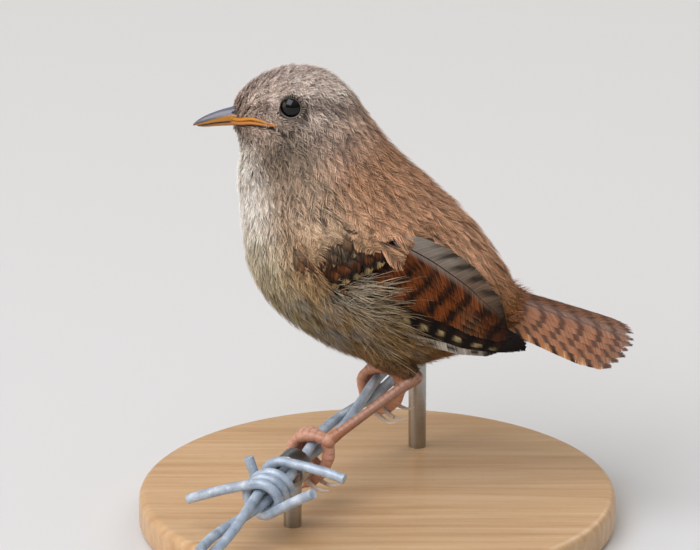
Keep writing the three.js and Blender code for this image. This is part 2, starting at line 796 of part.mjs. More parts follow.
const bothSides = (solid) => solid.add(mirrored(solid));
const body = wholeBody();
const eyeBall = ball(EYE, EYE_RADIUS, EYE_SIDES, EYE_BANDS);
const head = cutAt(body, HEAD_NECK, true)
  .add(bothSides(lid()))
  .subtract(bothSides(ball(EYE, EYE_RADIUS + GAP, EYE_SIDES, EYE_BANDS)))
  .subtract(makeBill(true, GAP))
  .subtract(makeBill(false, GAP));
const neck = cutAt(cutAt(body, HEAD_NECK, false), NECK_TORSO, true);
const wing = makeWing();
const torso = cutAt(body, NECK_TORSO, false)
  .subtract(bothSides(wingBed()))
  .subtract(tailSocket())
  .subtract(thigh("left", GAP))
  .subtract(thigh("right", GAP))
  .subtract(tarsus("left", GAP))
  .subtract(tarsus("right", GAP));

addNode(bird, "head", largest(head), skins.plumage);
addNode(bird, "neck", neck, skins.throat);
addNode(bird, "torso", largest(torso), skins.plumage);
addNode(bird, "bill_upper", makeBill(true), skins.bill);
addNode(bird, "bill_lower", makeBill(false), skins.gape);
addNode(bird, "eye_left", eyeBall, skins.eye);
addNode(bird, "eye_right", mirrored(eyeBall), skins.eye);
addNode(bird, "wing_left", wing, skins.wing);
addNode(bird, "wing_right", mirrored(wing), skins.wing);
addNode(bird, "tail", makeTail(), skins.tail);
for (const side of ["left", "right"]) {
  addNode(bird, "thigh_" + side, largest(thigh(side).subtract(tarsus(side, GAP))), skins.plumage);
  addNode(bird, "tarsus_" + side, tarsus(side), skins.leg);
  addNode(bird, "foot_" + side, foot(side), skins.leg);
}
addNode(bird, "perch_strand_a", strand(0), skins.wire);
addNode(bird, "perch_strand_b", strand(1), skins.wire);
addNode(bird, "perch_barb_a", barb(barbs.a), skins.wire);
addNode(bird, "perch_barb_b", barb(barbs.b), skins.wire);
for (const [place, s] of Object.entries(ROD_PLACES)) {
  addNode(bird, "stand_rod_" + place, rod(s), skins.rod);
}

const model = new THREE.Group();
model.add(bird);
addNode(model, "stand_base", base(), skins.wood);

export default model;
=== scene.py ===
import math

import bpy
import numpy as np
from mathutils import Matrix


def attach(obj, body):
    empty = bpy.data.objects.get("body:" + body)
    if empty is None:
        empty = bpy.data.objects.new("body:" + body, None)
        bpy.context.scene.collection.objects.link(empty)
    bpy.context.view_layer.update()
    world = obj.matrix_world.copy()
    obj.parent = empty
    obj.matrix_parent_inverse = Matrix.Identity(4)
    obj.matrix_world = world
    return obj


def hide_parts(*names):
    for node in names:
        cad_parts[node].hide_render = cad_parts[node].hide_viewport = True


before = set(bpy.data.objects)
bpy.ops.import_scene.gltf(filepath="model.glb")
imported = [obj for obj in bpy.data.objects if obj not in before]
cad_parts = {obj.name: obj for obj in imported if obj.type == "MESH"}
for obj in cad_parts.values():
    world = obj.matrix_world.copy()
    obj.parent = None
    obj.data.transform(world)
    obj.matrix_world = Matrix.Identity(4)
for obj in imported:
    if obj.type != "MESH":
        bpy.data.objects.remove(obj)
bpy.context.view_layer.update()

# Studio. A pale matte table under an even sky, with a large softbox above and in front and two weaker
# ones behind and low down ahead of the bird. The camera looks at the bird's left side from 20 degrees
# above, as through a long lens.
AIM = (-0.00458, 0.0, 0.0444)
DISTANCE = 2.0
LOOK_DOWN = math.radians(20)
FRAME_WIDTH = 0.7 / 6  # 700 pixels at 6 to the millimetre, in metres
SENSOR = 36.0


def deselect():
    if bpy.context.object and bpy.context.object.mode != "OBJECT":
        bpy.ops.object.mode_set(mode="OBJECT")
    bpy.ops.object.select_all(action="DESELECT")


def linear(code):
    """An sRGB hex colour as linear red, green, blue and 1."""
    parts = [int(code[i : i + 2], 16) / 255 for i in (0, 2, 4)]
    return (*[c / 12.92 if c <= 0.04045 else ((c + 0.055) / 1.055) ** 2.4 for c in parts], 1.0)


def add(tree, kind, sockets=None, stops=None, **settings):
    """Adds a node with its settings, its colour stops, and its inputs as values or links."""
    made = tree.nodes.new(kind)
    for name, value in settings.items():
        setattr(made, name, value)
    for name, value in (sockets or {}).items():
        if isinstance(value, bpy.types.NodeSocket):
            tree.links.new(value, made.inputs[name])
        else:
            made.inputs[name].default_value = value
    for i, (place, code) in enumerate(stops or []):
        given = made.color_ramp.elements
        stop = given[i] if i < len(given) else given.new(place)
        stop.position, stop.color = place, linear(code)
    return made


def new_material(name, **fixed):
    """A material with one Principled shader, its fixed sockets set; returns material, tree, shader."""
    material = bpy.data.materials.new(name)
    material.use_nodes = True
    shader = material.node_tree.nodes["Principled BSDF"]
    for socket, value in fixed.items():
        shader.inputs[socket.replace("_", " ")].default_value = value
    return material, material.node_tree, shader


def ramp(tree, value, *stops):
    """A value turned to colour by its stops."""
    return add(tree, "ShaderNodeValToRGB", {"Fac": value}, stops).outputs["Color"]


def paint(tree, shader, colour):
    tree.links.new(colour, shader.inputs["Base Color"])


deselect()
bpy.ops.object.camera_add(
    location=(AIM[0], AIM[1] - DISTANCE * math.cos(LOOK_DOWN), AIM[2] + DISTANCE * math.sin(LOOK_DOWN)),
    rotation=(math.pi / 2 - LOOK_DOWN, 0, 0),
)
camera = bpy.context.object
camera.data.sensor_width = SENSOR
camera.data.lens = SENSOR * DISTANCE / FRAME_WIDTH
camera.data.clip_end = 50
bpy.context.scene.camera = camera
bpy.context.scene.view_settings.view_transform = "Standard"

# The table is a sheet of matte card: an even, slightly warm white with no gloss.
deselect()
bpy.ops.mesh.primitive_plane_add(size=14)
table = bpy.context.object
table.name = "table"
card, tree, shader = new_material("matte_card", Roughness=0.9, Specular_IOR_Level=0.2)
mottle = add(tree, "ShaderNodeTexNoise", {"Scale": 6.0, "Detail": 3.0})
paint(tree, shader, ramp(tree, mottle.outputs["Fac"], (0.3, "cfccc7"), (0.7, "d6d3cf")))
table.data.materials.append(card)

world = bpy.context.scene.world or bpy.data.worlds.new("sky")
bpy.context.scene.world = world
world.use_nodes = True
tree = world.node_tree
heading = add(tree, "ShaderNodeTexCoord").outputs["Generated"]
height = add(tree, "ShaderNodeSeparateXYZ", {"Vector": heading}).outputs["Z"]
sky = ramp(tree, height, (0.0, "8a8d88"), (0.25, "a9aba8"), (0.7, "e2e8f0"), (1.0, "eef3fb"))
tree.links.new(sky, tree.nodes["Background"].inputs["Color"])
tree.nodes["Background"].inputs["Strength"].default_value = 0.62


def softbox(name, place, size, power, tint):
    """A square area light that faces the bird."""
    deselect()
    away = np.array(place) - np.array(AIM)
    flat = math.hypot(away[0], away[1])
    turn = (math.atan2(flat, away[2]), 0, math.atan2(away[1], away[0]) + math.pi / 2)
    bpy.ops.object.light_add(type="AREA", location=place, rotation=turn)
    light = bpy.context.object
    light.name = name
    light.data.size = size
    light.data.energy = power
    light.data.color = linear(tint)[:3]


softbox("key_softbox", (-0.6, -0.8, 1.2), 1.3, 25, "f0f5ff")
softbox("back_softbox", (0.7, 0.9, 0.9), 0.8, 5, "fff4e6")
softbox("fill_softbox", (-1.4, -0.25, 0.35), 0.9, 6, "ffe4c6")

# Stand base. A disc of beech, turned on a lathe, its rims rounded over, then waxed. It is added so
# that the wire has something to stand on.
BASE_RADIUS = 0.040
BASE_THICKNESS = 0.006
BASE_EDGE = 0.0014
MM = 0.001


def finish_piece(piece, name, material, slot, *nodes):
    """Names a finished piece, gives it its material and ties it to the frame."""
    piece.name = piece.data.name = name
    piece.data.materials.clear()
    piece.data.materials.append(material)
    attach(piece, "root")
    if nodes:
        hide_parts(*nodes)


def noise(tree, scale, detail=2.0, stretch=None, **more):
    """Noise in the piece's own space, finer along the axes where stretch is larger."""
    place = add(tree, "ShaderNodeTexCoord").outputs["Object"]
    if stretch:
        place = add(tree, "ShaderNodeMapping", {"Vector": place, "Scale": stretch}).outputs["Vector"]
    sockets = {"Vector": place, "Scale": scale, "Detail": detail, **more}
    return add(tree, "ShaderNodeTexNoise", sockets).outputs["Fac"]


def veil(tree, base, code, share):
    """The base colour, turned to another one where the share is light."""
    return add(tree, "ShaderNodeMix", {6: base, 7: linear(code), 0: share}, data_type="RGBA").outputs[2]


def bump(tree, shader, height, strength, distance):
    made = add(tree, "ShaderNodeBump", {"Height": height, "Strength": strength, "Distance": distance})
    tree.links.new(made.outputs["Normal"], shader.inputs["Normal"])


# Flat-sawn beech: uneven growth bands 1 to 4 mm apart, and short dark ray flecks 1 to 2 mm long.
beech, tree, shader = new_material("turned_waxed_beech", Roughness=0.42, Coat_Weight=0.15)
bands = noise(tree, 1.0, 5.0, (22.0, 520.0, 260.0), Roughness=0.6, Distortion=0.4)
flecks = noise(tree, 1.0, 1.0, (700.0, 4200.0, 4200.0))
grain = ramp(tree, bands, (0.25, "b3875c"), (0.45, "c39a6e"), (0.6, "cca67b"), (0.75, "d4b089"))
paint(tree, shader, veil(tree, grain, "8a5d38", ramp(tree, flecks, (0.6, "000000"), (0.7, "6a6a6a"))))
bump(tree, shader, flecks, 0.12, 0.0001)

deselect()
bpy.ops.mesh.primitive_cylinder_add(
    vertices=128, radius=BASE_RADIUS, depth=BASE_THICKNESS, location=(0, 0, BASE_THICKNESS / 2)
)
disc = bpy.context.object
bpy.ops.object.transform_apply(location=True, rotation=True, scale=True)


def round_rims(piece, width, segments, angle=math.radians(40)):
    """Rounds the sharp edges of a piece with an applied Bevel."""
    bevel = piece.modifiers.new("rounding", "BEVEL")
    bevel.width, bevel.segments, bevel.limit_method, bevel.angle_limit = width, segments, "ANGLE", angle
    bpy.context.view_layer.objects.active = piece
    bpy.ops.object.modifier_apply(modifier="rounding")
    deselect()
    piece.select_set(True)
    bpy.ops.object.shade_smooth_by_angle(angle=math.radians(35))


round_rims(disc, BASE_EDGE, 6)
finish_piece(disc, "base_disc", beech, "base", "stand_base")

# Rods. Two lengths of ground stainless rod pressed into the beech. A short sleeve is brazed across
# the top of each, and the wire is threaded through it.
BIRD = np.array([-5.0, 0.0, 19.5])  # from the bird's own frame, in mm, to the floor's
HEADING, CLIMB = math.radians(60.7), math.radians(10)
WIRE_AXIS = np.array(
    [math.cos(HEADING) * math.cos(CLIMB), math.sin(HEADING) * math.cos(CLIMB), math.sin(CLIMB)]
)
WIRE_BACK = np.array([math.sin(HEADING), -math.cos(HEADING), 0.0])
WIRE_UP = np.cross(WIRE_BACK, WIRE_AXIS)
ROD_RADIUS = 1.5
ROD_SINK = 2.7  # how deep it goes into the base
ROD_EDGE = 0.15
SLEEVE_LENGTH = 3.2
SLEEVE_OUTER, SLEEVE_INNER = 2.95, 2.15


def by_wire(s, back, up):
    """A point in the bird's frame from its place along the wire, towards the tail, and up."""
    return (np.multiply.outer(s, WIRE_AXIS) + np.multiply.outer(back, WIRE_BACK)
            + np.multiply.outer(up, WIRE_UP))


# Grinding leaves fine rings round the rods.
steel, tree, shader = new_material("ground_stainless_steel", Metallic=1.0, Roughness=0.3)
grinding = noise(tree, 1.0, 2.0, (300.0, 300.0, 9000.0))
paint(tree, shader, ramp(tree, grinding, (0.3, "9b9995"), (0.7, "adaba7")))
bump(tree, shader, grinding, 0.08, 0.00003)

for name, s in (("near", -18.9), ("far", 24.5)):
    middle = (by_wire(s, 0.0, 0.0) + BIRD) * MM
    foot = BASE_THICKNESS - ROD_SINK * MM
    top = middle[2] - SLEEVE_INNER * MM
    deselect()
    bpy.ops.mesh.primitive_cylinder_add(
        vertices=48, radius=ROD_RADIUS * MM, depth=top - foot, location=(*middle[:2], (top + foot) / 2)
    )
    rod = bpy.context.object
    bpy.ops.mesh.primitive_cylinder_add(
        vertices=64,
        radius=SLEEVE_OUTER * MM,
        depth=SLEEVE_LENGTH * MM,
        end_fill_type="NOTHING",
        location=middle,
        rotation=(0, math.pi / 2 - CLIMB, HEADING),
    )
    sleeve = bpy.context.object
    wall = sleeve.modifiers.new("wall", "SOLIDIFY")
    wall.thickness, wall.offset = (SLEEVE_OUTER - SLEEVE_INNER) * MM, -1
    bpy.ops.object.modifier_apply(modifier="wall")
    rod.select_set(True)
    bpy.context.view_layer.objects.active = rod
    bpy.ops.object.join()
    bpy.ops.object.transform_apply(location=True, rotation=True, scale=True)
    round_rims(rod, ROD_EDGE * MM, 3)
    finish_piece(rod, "rod_" + name, steel, "rod", "stand_rod_" + name)

# Wire. Two strands of soft steel wire twisted together, hot-dip galvanised: dull blue-grey zinc,
# brighter where it has been rubbed, with white bloom and dark dirt in specks.
STRAND_RADIUS = 0.85
STRAND_OFFSET = 1.0
STRAND_TWIST = 40.0  # the strands turn round each other once in this length
STRAND_PHASE = math.radians(14)
WIRE_NEAR, WIRE_FAR = -50.0, 33.0

zinc, tree, shader = new_material("hot_dip_galvanised_wire", Metallic=0.15, Roughness=0.42)
cloud = noise(tree, 480.0, 5.0)
dull = ramp(tree, cloud, (0.3, "8b97a4"), (0.45, "a2adb9"), (0.6, "b5bec9"), (0.72, "c9d0d9"))
bloom = ramp(tree, noise(tree, 1500.0), (0.66, "000000"), (0.74, "c0c0c0"))
pits = ramp(tree, noise(tree, 2600.0, 1.0), (0.68, "000000"), (0.74, "808080"))
paint(tree, shader, veil(tree, veil(tree, dull, "f2f5f8", bloom), "4a4f55", pits))
bump(tree, shader, cloud, 0.18, 0.0003)


def drawn_wire(name, path, radius, slot, *nodes):
    """A round wire along a path in the bird's frame: a bevelled curve, made a mesh."""
    curve = bpy.data.curves.new(name, "CURVE")
    curve.dimensions = "3D"
    curve.bevel_depth, curve.bevel_resolution, curve.use_fill_caps = radius * MM, 6, True
    line = curve.splines.new("POLY")
    line.points.add(len(path) - 1)
    spots = (np.asarray(path) + BIRD) * MM
    line.points.foreach_set("co", np.column_stack([spots, np.ones(len(path))]).ravel())
    piece = bpy.data.objects.new(name, curve)
    bpy.context.scene.collection.objects.link(piece)
    deselect()
    piece.select_set(True)
    bpy.context.view_layer.objects.active = piece
    bpy.ops.object.convert(target="MESH")
    piece = bpy.context.object
    bpy.ops.object.mode_set(mode="EDIT")
    bpy.ops.mesh.select_all(action="SELECT")
    bpy.ops.mesh.remove_doubles(threshold=1e-6)
    bpy.ops.mesh.normals_make_consistent(inside=False)
    bpy.ops.object.mode_set(mode="OBJECT")
    bpy.ops.object.shade_smooth_by_angle(angle=math.radians(50))
    finish_piece(piece, name, zinc, slot, *nodes)


run = np.linspace(WIRE_NEAR, WIRE_FAR, 140)
for name, half in (("a", 0), ("b", 1)):
    angle = STRAND_PHASE + 2 * math.pi * run / STRAND_TWIST + half * math.pi
    path = by_wire(run, STRAND_OFFSET * np.cos(angle), STRAND_OFFSET * np.sin(angle))
    drawn_wire("strand_" + name, path, STRAND_RADIUS, "wire", "perch_strand_" + name)

# Barbs. Two cut lengths of the same wire, wound side by side round both strands, their ends bent
# out straight and cut at a slant by the machine.
BARB_RADIUS = 0.85
CURVE_STEPS = 24  # how finely a curve is read, from each point to the next, before it is measured
COIL_RADIUS = 2.95
COIL_ADVANCE = 3.9  # along the wire in one turn


def curve_at(points, t):
    """A centripetal Catmull-Rom curve through points, read at fractional point numbers."""
    points = np.asarray(points, float)
    p = np.vstack([2 * points[0] - points[1], points, 2 * points[-1] - points[-2]])
    i = np.clip(np.floor(t).astype(int), 0, len(points) - 2)
    w = (t - i)[:, None]
    p0, p1, p2, p3 = p[i], p[i + 1], p[i + 2], p[i + 3]
    d0, d1, d2 = (
        np.sqrt(np.linalg.norm(b - a, axis=1) + 1e-6)[:, None] for a, b in ((p0, p1), (p1, p2), (p2, p3))
    )
    m1 = ((p1 - p0) / d0 - (p2 - p0) / (d0 + d1) + (p2 - p1) / d1) * d1
    m2 = ((p2 - p1) / d1 - (p3 - p1) / (d1 + d2) + (p3 - p2) / d2) * d1
    return (2 * w**3 - 3 * w**2 + 1) * p1 + (w**3 - 2 * w**2 + w) * m1 + (3 * w**2 - 2 * w**3) * p2 + (
        w**3 - w**2) * m2


def smooth_path(points, count):
    """The same curve, read at evenly spaced places along it."""
    last = len(points) - 1
    fine = curve_at(points, np.linspace(0, last, CURVE_STEPS * last + 1))
    length = np.concatenate([[0], np.cumsum(np.linalg.norm(np.diff(fine, axis=0), axis=1))])
    places = np.linspace(0, length[-1], count)
    return np.column_stack([np.interp(places, length, fine[:, i]) for i in range(3)])


def barb_end(s, angle, way, reach, droop):
    """A barb's straight end, from the coil out: way is -1 where the coil starts and 1 where it stops."""
    return [
        by_wire(
            s + way * 0.25 * out,
            COIL_RADIUS * math.cos(angle) + way * math.sin(angle) * reach * out,
            COIL_RADIUS * math.sin(angle) - way * math.cos(angle) * reach * out - droop * out * out,
        )
        for out in (0.25, 0.5, 0.75, 1.0)
    ]


for name, first, turns, start, ends, droop in (
    ("a", math.radians(109), 2.05, -30.2, (13.4, 11.8), (0.9, 1.3)),
    ("b", math.radians(-54), 1.3, -30.4, (11.2, 5.6), (0.6, 0.0)),
):
    wound = np.linspace(0, 1, round(turns * 20) + 1)
    angle, advance = first - 2 * math.pi * turns * wound, COIL_ADVANCE * turns
    path = [
        *barb_end(start, first, -1, ends[0], droop[0])[::-1],
        *by_wire(start + advance * wound, COIL_RADIUS * np.cos(angle), COIL_RADIUS * np.sin(angle)),
        *barb_end(start + advance, angle[-1], 1, ends[1], droop[1]),
    ]
    drawn_wire("barb_" + name, smooth_path(path, 150), BARB_RADIUS, "wire", "perch_barb_" + name)

# Legs and toes. Bare scaled skin over bone and tendon, moulded and tinted as on a mounted bird: broad
# scutes ring the front of the shank and the tops of the toes, and soft pads fill the undersides.
ANKLE = {"left": np.array([11.4, -9.0, 10.1]), "right": np.array([21.4, 7.6, 17.0])}
HUB = (3.3, 2.2)
GRIP = {"left": -12.25, "right": 12.25}
FRONT_TOE = [(3.2, 2.2), (1.6, 2.75), (-0.3, 2.92), (-1.9, 2.3), (-2.95, 1.0), (-3.25, -0.9),
             (-2.5, -3.0), (-0.7, -4.85)]
FRONT_CLAW = [(-0.7, -4.85), (1.0, -6.15), (2.9, -6.7), (4.5, -6.2)]
HIND_TOE = [(3.2, 2.2), (3.4, 0.3), (2.9, -1.8), (1.9, -3.7), (0.2, -5.5), (-1.4, -6.6)]
HIND_CLAW = [(-1.4, -6.6), (-2.6, -7.3), (-3.6, -7.4), (-4.5, -6.9)]
TOES = [
    (FRONT_TOE, FRONT_CLAW, 2.7, 0.9, 0.95),
    (FRONT_TOE, FRONT_CLAW, 0.35, 1.0, 1.0),
    (FRONT_TOE, FRONT_CLAW, -2.3, 0.92, 0.95),
    (HIND_TOE, HIND_CLAW, -0.9, 1.0, 1.1),
]
TOE_RADII = [1.05, 0.86, 0.98, 0.82, 0.96, 0.8, 0.84, 0.56]
CLAW_RADII = [0.46, 0.4, 0.28, 0.06]
SCUTE = 1.05  # length of one scute, in mm
PAD = 1.9  # from one toe pad to the next
SHANK_FRONT = np.array([-1.0, 0.0, 0.6])
SHANK_STEPS, TOE_STEPS, CLAW_STEPS = 110, 96, 36


def rgb(code):
    return np.array(linear(code)[:3])


def sewn(name, points, faces, material, slot, *nodes, tint=None, bake=None, outward=None):
    """A mesh piece from arrays in the bird's frame: points, lists of faces, a colour for each point,
    a bake place for each point, and the way out at each point, which turns the faces."""
    corners, sizes = [], []
    for group in faces:
        group = np.asarray(group)
        if outward is not None:
            a, b, c = (points[group[:, i]] for i in range(3))
            turned = np.einsum("ij,ij->i", np.cross(b - a, c - a), outward[group[:, 0]]) < 0
            group = np.where(turned[:, None], group[:, ::-1], group)
        corners.append(group.ravel())
        sizes.append(np.full(len(group), group.shape[1]))
    corners, sizes = np.concatenate(corners), np.concatenate(sizes)
    mesh = bpy.data.meshes.new(name)
    mesh.vertices.add(len(points))
    mesh.vertices.foreach_set("co", ((points + BIRD) * MM).astype(np.float32).ravel())
    mesh.loops.add(len(corners))
    mesh.loops.foreach_set("vertex_index", corners.astype(np.int32))
    mesh.polygons.add(len(sizes))
    mesh.polygons.foreach_set("loop_start", (np.cumsum(sizes) - sizes).astype(np.int32))
    mesh.polygons.foreach_set("use_smooth", np.ones(len(sizes), bool))
    mesh.update(calc_edges=True)
    if tint is not None:
        layer = mesh.color_attributes.new("tint", "FLOAT_COLOR", "POINT")
        rgba = np.column_stack([tint, np.ones(len(tint))]).astype(np.float32)
        layer.data.foreach_set("color", rgba.ravel())
    if bake is not None:
        layer = mesh.uv_layers.new(name="OFBake")
        layer.data.foreach_set("uv", bake[corners].astype(np.float32).ravel())
    mesh.validate()
    piece = bpy.data.objects.new(name, mesh)
    bpy.context.scene.collection.objects.link(piece)
    finish_piece(piece, name, material, slot, *nodes)


def round_angles(count):
    return np.linspace(0, 2 * np.pi, count, endpoint=False)


def ring_faces(rows, sides):
    """Quads between rings of points, and fans that close both ends on two last points."""
    i, j = np.meshgrid(np.arange(rows - 1), np.arange(sides), indexing="ij")
    k = (j + 1) % sides
    quads = np.stack([i * sides + j, (i + 1) * sides + j, (i + 1) * sides + k, i * sides + k], -1)
    n, rim = rows * sides, np.arange(sides)
    fans = [
        np.column_stack([np.full(sides, n + end), first + rim, first + (rim + 1) % sides])
        for end, first in ((0, 0), (1, n - sides))
    ]
    return quads.reshape(-1, 4), np.vstack(fans)


def tube(path, radii, sides, up):
    """A skinned round bar: points, faces, outward ways, and each point's share along and its angle
    from up. radii is a number for each path point, or one for each point and side."""
    path = np.asarray(path, float)
    tangent = np.gradient(path, axis=0)
    tangent /= np.linalg.norm(tangent, axis=1)[:, None]
    rise = up - tangent * (tangent @ up)[:, None]
    rise /= np.linalg.norm(rise, axis=1)[:, None]
    side = np.cross(tangent, rise)
    angle = round_angles(sides)
    way = rise[:, None] * np.cos(angle)[None, :, None] + side[:, None] * np.sin(angle)[None, :, None]
    radii = np.asarray(radii, float)
    radii = np.broadcast_to(radii.reshape(len(path), -1) if radii.ndim else radii, (len(path), sides))
    points = path[:, None] + way * radii[..., None]
    rows = len(path)
    quads, caps = ring_faces(rows, sides)
    points = np.vstack([points.reshape(-1, 3), path[0], path[-1]])
    outward = np.vstack([way.reshape(-1, 3), -tangent[0], tangent[-1]])
    share = np.concatenate([np.repeat(np.linspace(0, 1, rows), sides), [0, 1]])
    turn = np.concatenate([np.tile(angle, rows), [0, 0]])
    return {"points": points, "quads": quads, "tris": caps, "outward": outward, "share": share,
            "turn": turn}


def gathered(parts):
    """Several tubes as one set of arrays."""
    shift, out = 0, {key: [] for key in ("points", "quads", "tris", "outward", "tint")}
    for part in parts:
        for key in ("points", "outward", "tint"):
            out[key].append(part[key])
        for key in ("quads", "tris"):
            out[key].append(part[key] + shift)
        shift += len(part["points"])
    return {key: np.vstack(value) for key, value in out.items()}


def sew_bar(name, bar, material, slot, *nodes):
    """Sews a tube, or several gathered ones, into a piece."""
    sewn(name, bar["points"], [bar["quads"], bar["tris"]], material, slot, *nodes, tint=bar.get("tint"),
         outward=bar["outward"])


def eased(low, high, at):
    """0 up to low, 1 from high on, and a smooth rise between; low may be the greater."""
    share = np.clip((at - low) / (high - low), 0, 1)
    return share * share * (3 - 2 * share)


def mixed(low, high, share):
    """Linear colours between two hex colours, one for each share."""
    share = np.clip(np.asarray(share, float), 0, 1)[:, None]
    return rgb(low) * (1 - share) + rgb(high) * share


def tinted(name, rough, **fixed):
    """A material whose colour is the piece's own tint, for skin, horn and feathers."""
    material, tree, shader = new_material(name, Roughness=rough, **fixed)
    paint(tree, shader, add(tree, "ShaderNodeAttribute", attribute_name="tint").outputs["Color"])
    return material, tree, shader


scaled_skin, tree, shader = tinted("scaled_leg_skin", 0.42, Specular_IOR_Level=0.45)
place = add(tree, "ShaderNodeTexCoord").outputs["Object"]
cells = add(tree, "ShaderNodeTexVoronoi", {"Vector": place, "Scale": 2600.0})
bump(tree, shader, cells.outputs["Distance"], 0.25, 0.00008)
claw_horn, tree, shader = tinted("claw_horn", 0.3, Specular_IOR_Level=0.5)


def foot_place(side, s, back, up):
    inward = 1 if side == "left" else -1
    return by_wire(GRIP[side] + inward * s, back, up)


def scutes(length_mm, share, turn, depth):
    """How far the skin stands out from its tube, scutes across the top and flat below, and how far each point
    lies in a groove between scutes, where shade is painted.
    """
    wave = np.abs(np.sin(np.pi * share * length_mm / SCUTE))
    top = np.clip(0.35 + 0.9 * np.cos(turn), 0, 1)
    return -depth * (1 - wave) ** 3 * top, (1 - wave) ** 3 * top


def scaled_bar(path, radii, sides, up, depth, low, high, swell=0.0):
    """A tube with scutes on top and, where swell says so, pads below."""
    length = np.linalg.norm(np.diff(path, axis=0), axis=1).sum()
    share = np.repeat(np.linspace(0, 1, len(path)), sides)
    turn = np.tile(round_angles(sides), len(path))
    dent, groove_shade = scutes(length, share, turn, depth)
    pads = swell * np.clip(-np.cos(turn), 0, 1) * np.abs(np.sin(np.pi * share * length / PAD)) ** 0.7
    bar = tube(path, (np.repeat(radii, sides) + dent + pads).reshape(len(path), sides), sides, up)
    mottle = np.random.default_rng(5).normal(0, 0.12, len(bar["points"]))
    # Painted light and shade: the side that faces up, as given, is painted lighter and the side away from it
    # darker, with random mottling.
    tone = mixed(low, high, 0.55 + 0.35 * np.cos(bar["turn"]) + mottle)
    # Painted shade in the grooves between scutes.
    tone *= 1 - 0.45 * np.concatenate([groove_shade, [0, 0]])[:, None]
    return {**bar, "tint": tone}


def knuckle(centre, axis, radius, low, high):
    """A rounded joint, where a shank or toes meet."""
    turn = np.linspace(0.03, np.pi - 0.03, 22)
    path = centre - np.outer(np.cos(turn), axis / np.linalg.norm(axis)) * radius
    return scaled_bar(path, radius * np.sin(turn), 24, np.array([0.3, 0.2, 1.0]), 0.03, low, high)


def round_wire(side, line, spread, reach):
    """A toe's or claw's way round the wire. spread is each point's place along the wire, and reach
    stretches what lies below it."""
    size = [1 if up > 0 else reach for _, up in line]
    return [foot_place(side, s, back * k, up * k) for s, k, (back, up) in zip(spread, size, line)]


for side in ("left", "right"):
    hub, ankle = foot_place(side, 0.0, *HUB), ANKLE[side]
    shank_path = smooth_path([ankle + (hub - ankle) * share for share in (0, 0.35, 0.7, 1)], SHANK_STEPS)
    shank_radii = np.interp(np.linspace(0, 1, SHANK_STEPS), [0, 0.06, 0.2, 0.5, 0.85, 1],
                            [1.25, 1.15, 0.9, 0.78, 0.88, 1.15])
    bar = scaled_bar(shank_path, shank_radii, 24, SHANK_FRONT, 0.02, "7a5443", "ab7c63")
    # The skin turns from pinkish brown to orange towards the foot.
    near_foot = eased(0.55, 1.0, bar["share"])[:, None]
    bar["tint"] = bar["tint"] * (1 - near_foot) + bar["tint"] * [1.18, 0.95, 0.72] * near_foot
    shank = gathered([bar, knuckle(ankle, SHANK_FRONT, 1.2, "7a5646", "a87b66")])
    toes, claws = [knuckle(hub, SHANK_FRONT, 1.3, "a06a52", "cc977c")], []
    for toe, claw, spread, reach, thick in TOES:
        away = by_wire(0.0, *toe[len(toe) // 2])
        away /= np.linalg.norm(away)
        path = smooth_path(round_wire(side, toe, np.linspace(0, spread, len(toe)), reach), TOE_STEPS)
        radii = np.interp(np.linspace(0, 1, TOE_STEPS), np.linspace(0, 1, len(TOE_RADII)), TOE_RADII) * thick
        toes.append(scaled_bar(path, radii, 20, away, 0.1, "a06a52", "d09b80", 0.12))
        path = smooth_path(round_wire(side, claw, np.linspace(spread, 1.12 * spread, 4), reach), CLAW_STEPS)
        radii = np.interp(np.linspace(0, 1, CLAW_STEPS), [0, 0.35, 0.7, 1], CLAW_RADII)
        nail = tube(path, radii, 14, away)
        nail["tint"] = mixed("a98a76", "e0d3c6", nail["share"] * 1.6)
        claws.append(nail)
    sew_bar("shank_" + side, shank, scaled_skin, "leg", "tarsus_" + side)
    sew_bar("toes_" + side, gathered(toes), scaled_skin, "leg", "foot_" + side)
    sew_bar("claws_" + side, gathered(claws), claw_horn, "leg")

# Skin. The mounted skin over its stuffed body form, in one piece from the bill to the tail and down
# both thighs. It is dusky where feathers part, partly its own colour and partly painted shade for the
# gaps between feathers, and lies below the coat by the feathers' depth.
STATIONS = np.array([  # back x, z, breast x, z, and half-width, from the bill's root to the tail's
    (-19.2, 55.0, -19.3, 51.4, 1.6),
    (-17.4, 57.6, -18.3, 49.9, 3.3),
    (-14.0, 60.3, -18.0, 48.2, 4.8),
    (-9.2, 61.7, -17.9, 46.4, 6.5),
    (-3.8, 61.0, -18.2, 44.3, 7.8),
    (0.5, 57.9, -18.5, 41.8, 8.8),
    (3.6, 53.2, -18.1, 37.8, 10.3),
    (7.8, 47.6, -17.7, 32.9, 12.6),
    (13.6, 41.9, -16.8, 27.2, 14.6),
    (19.3, 36.3, -13.8, 21.2, 15.4),
    (23.4, 31.3, -7.6, 15.6, 15.0),
    (26.5, 26.3, 0.0, 11.6, 13.2),
    (28.2, 22.8, 9.0, 9.9, 10.4),
    (29.0, 20.9, 17.1, 11.6, 7.6),
    (29.6, 19.6, 25.6, 13.4, 5.3),
    (32.0, 18.3, 31.0, 13.6, 3.8),
    (34.6, 17.2, 34.2, 13.6, 2.8),
])
LAST = len(STATIONS) - 1
WING_BEND = np.array([-7.9, 37.3])
WING_ALONG = np.array([37.3, -22.6]) / math.hypot(37.3, 22.6)
WING_ACROSS = np.array([-WING_ALONG[1], WING_ALONG[0]])
SHEET_HALF = np.array([
    (-4, 11.6), (4, 12.9), (14, 13.5), (24, 12.7), (32, 10.9), (40, 8.6), (47, 7.2)
])
SHEET_MIDDLE = np.array([(0, 3), (28, -4.4), (36, -3.6), (46, -1)])
WING_LOW = np.array([
    (-3, -0.5), (3.3, -3.9), (7.4, -5.6), (11.6, -5.9), (17, -5.4), (22, -4.4), (31.3, -3.6), (40.7, -1.5),
    (44, -0.4),
])
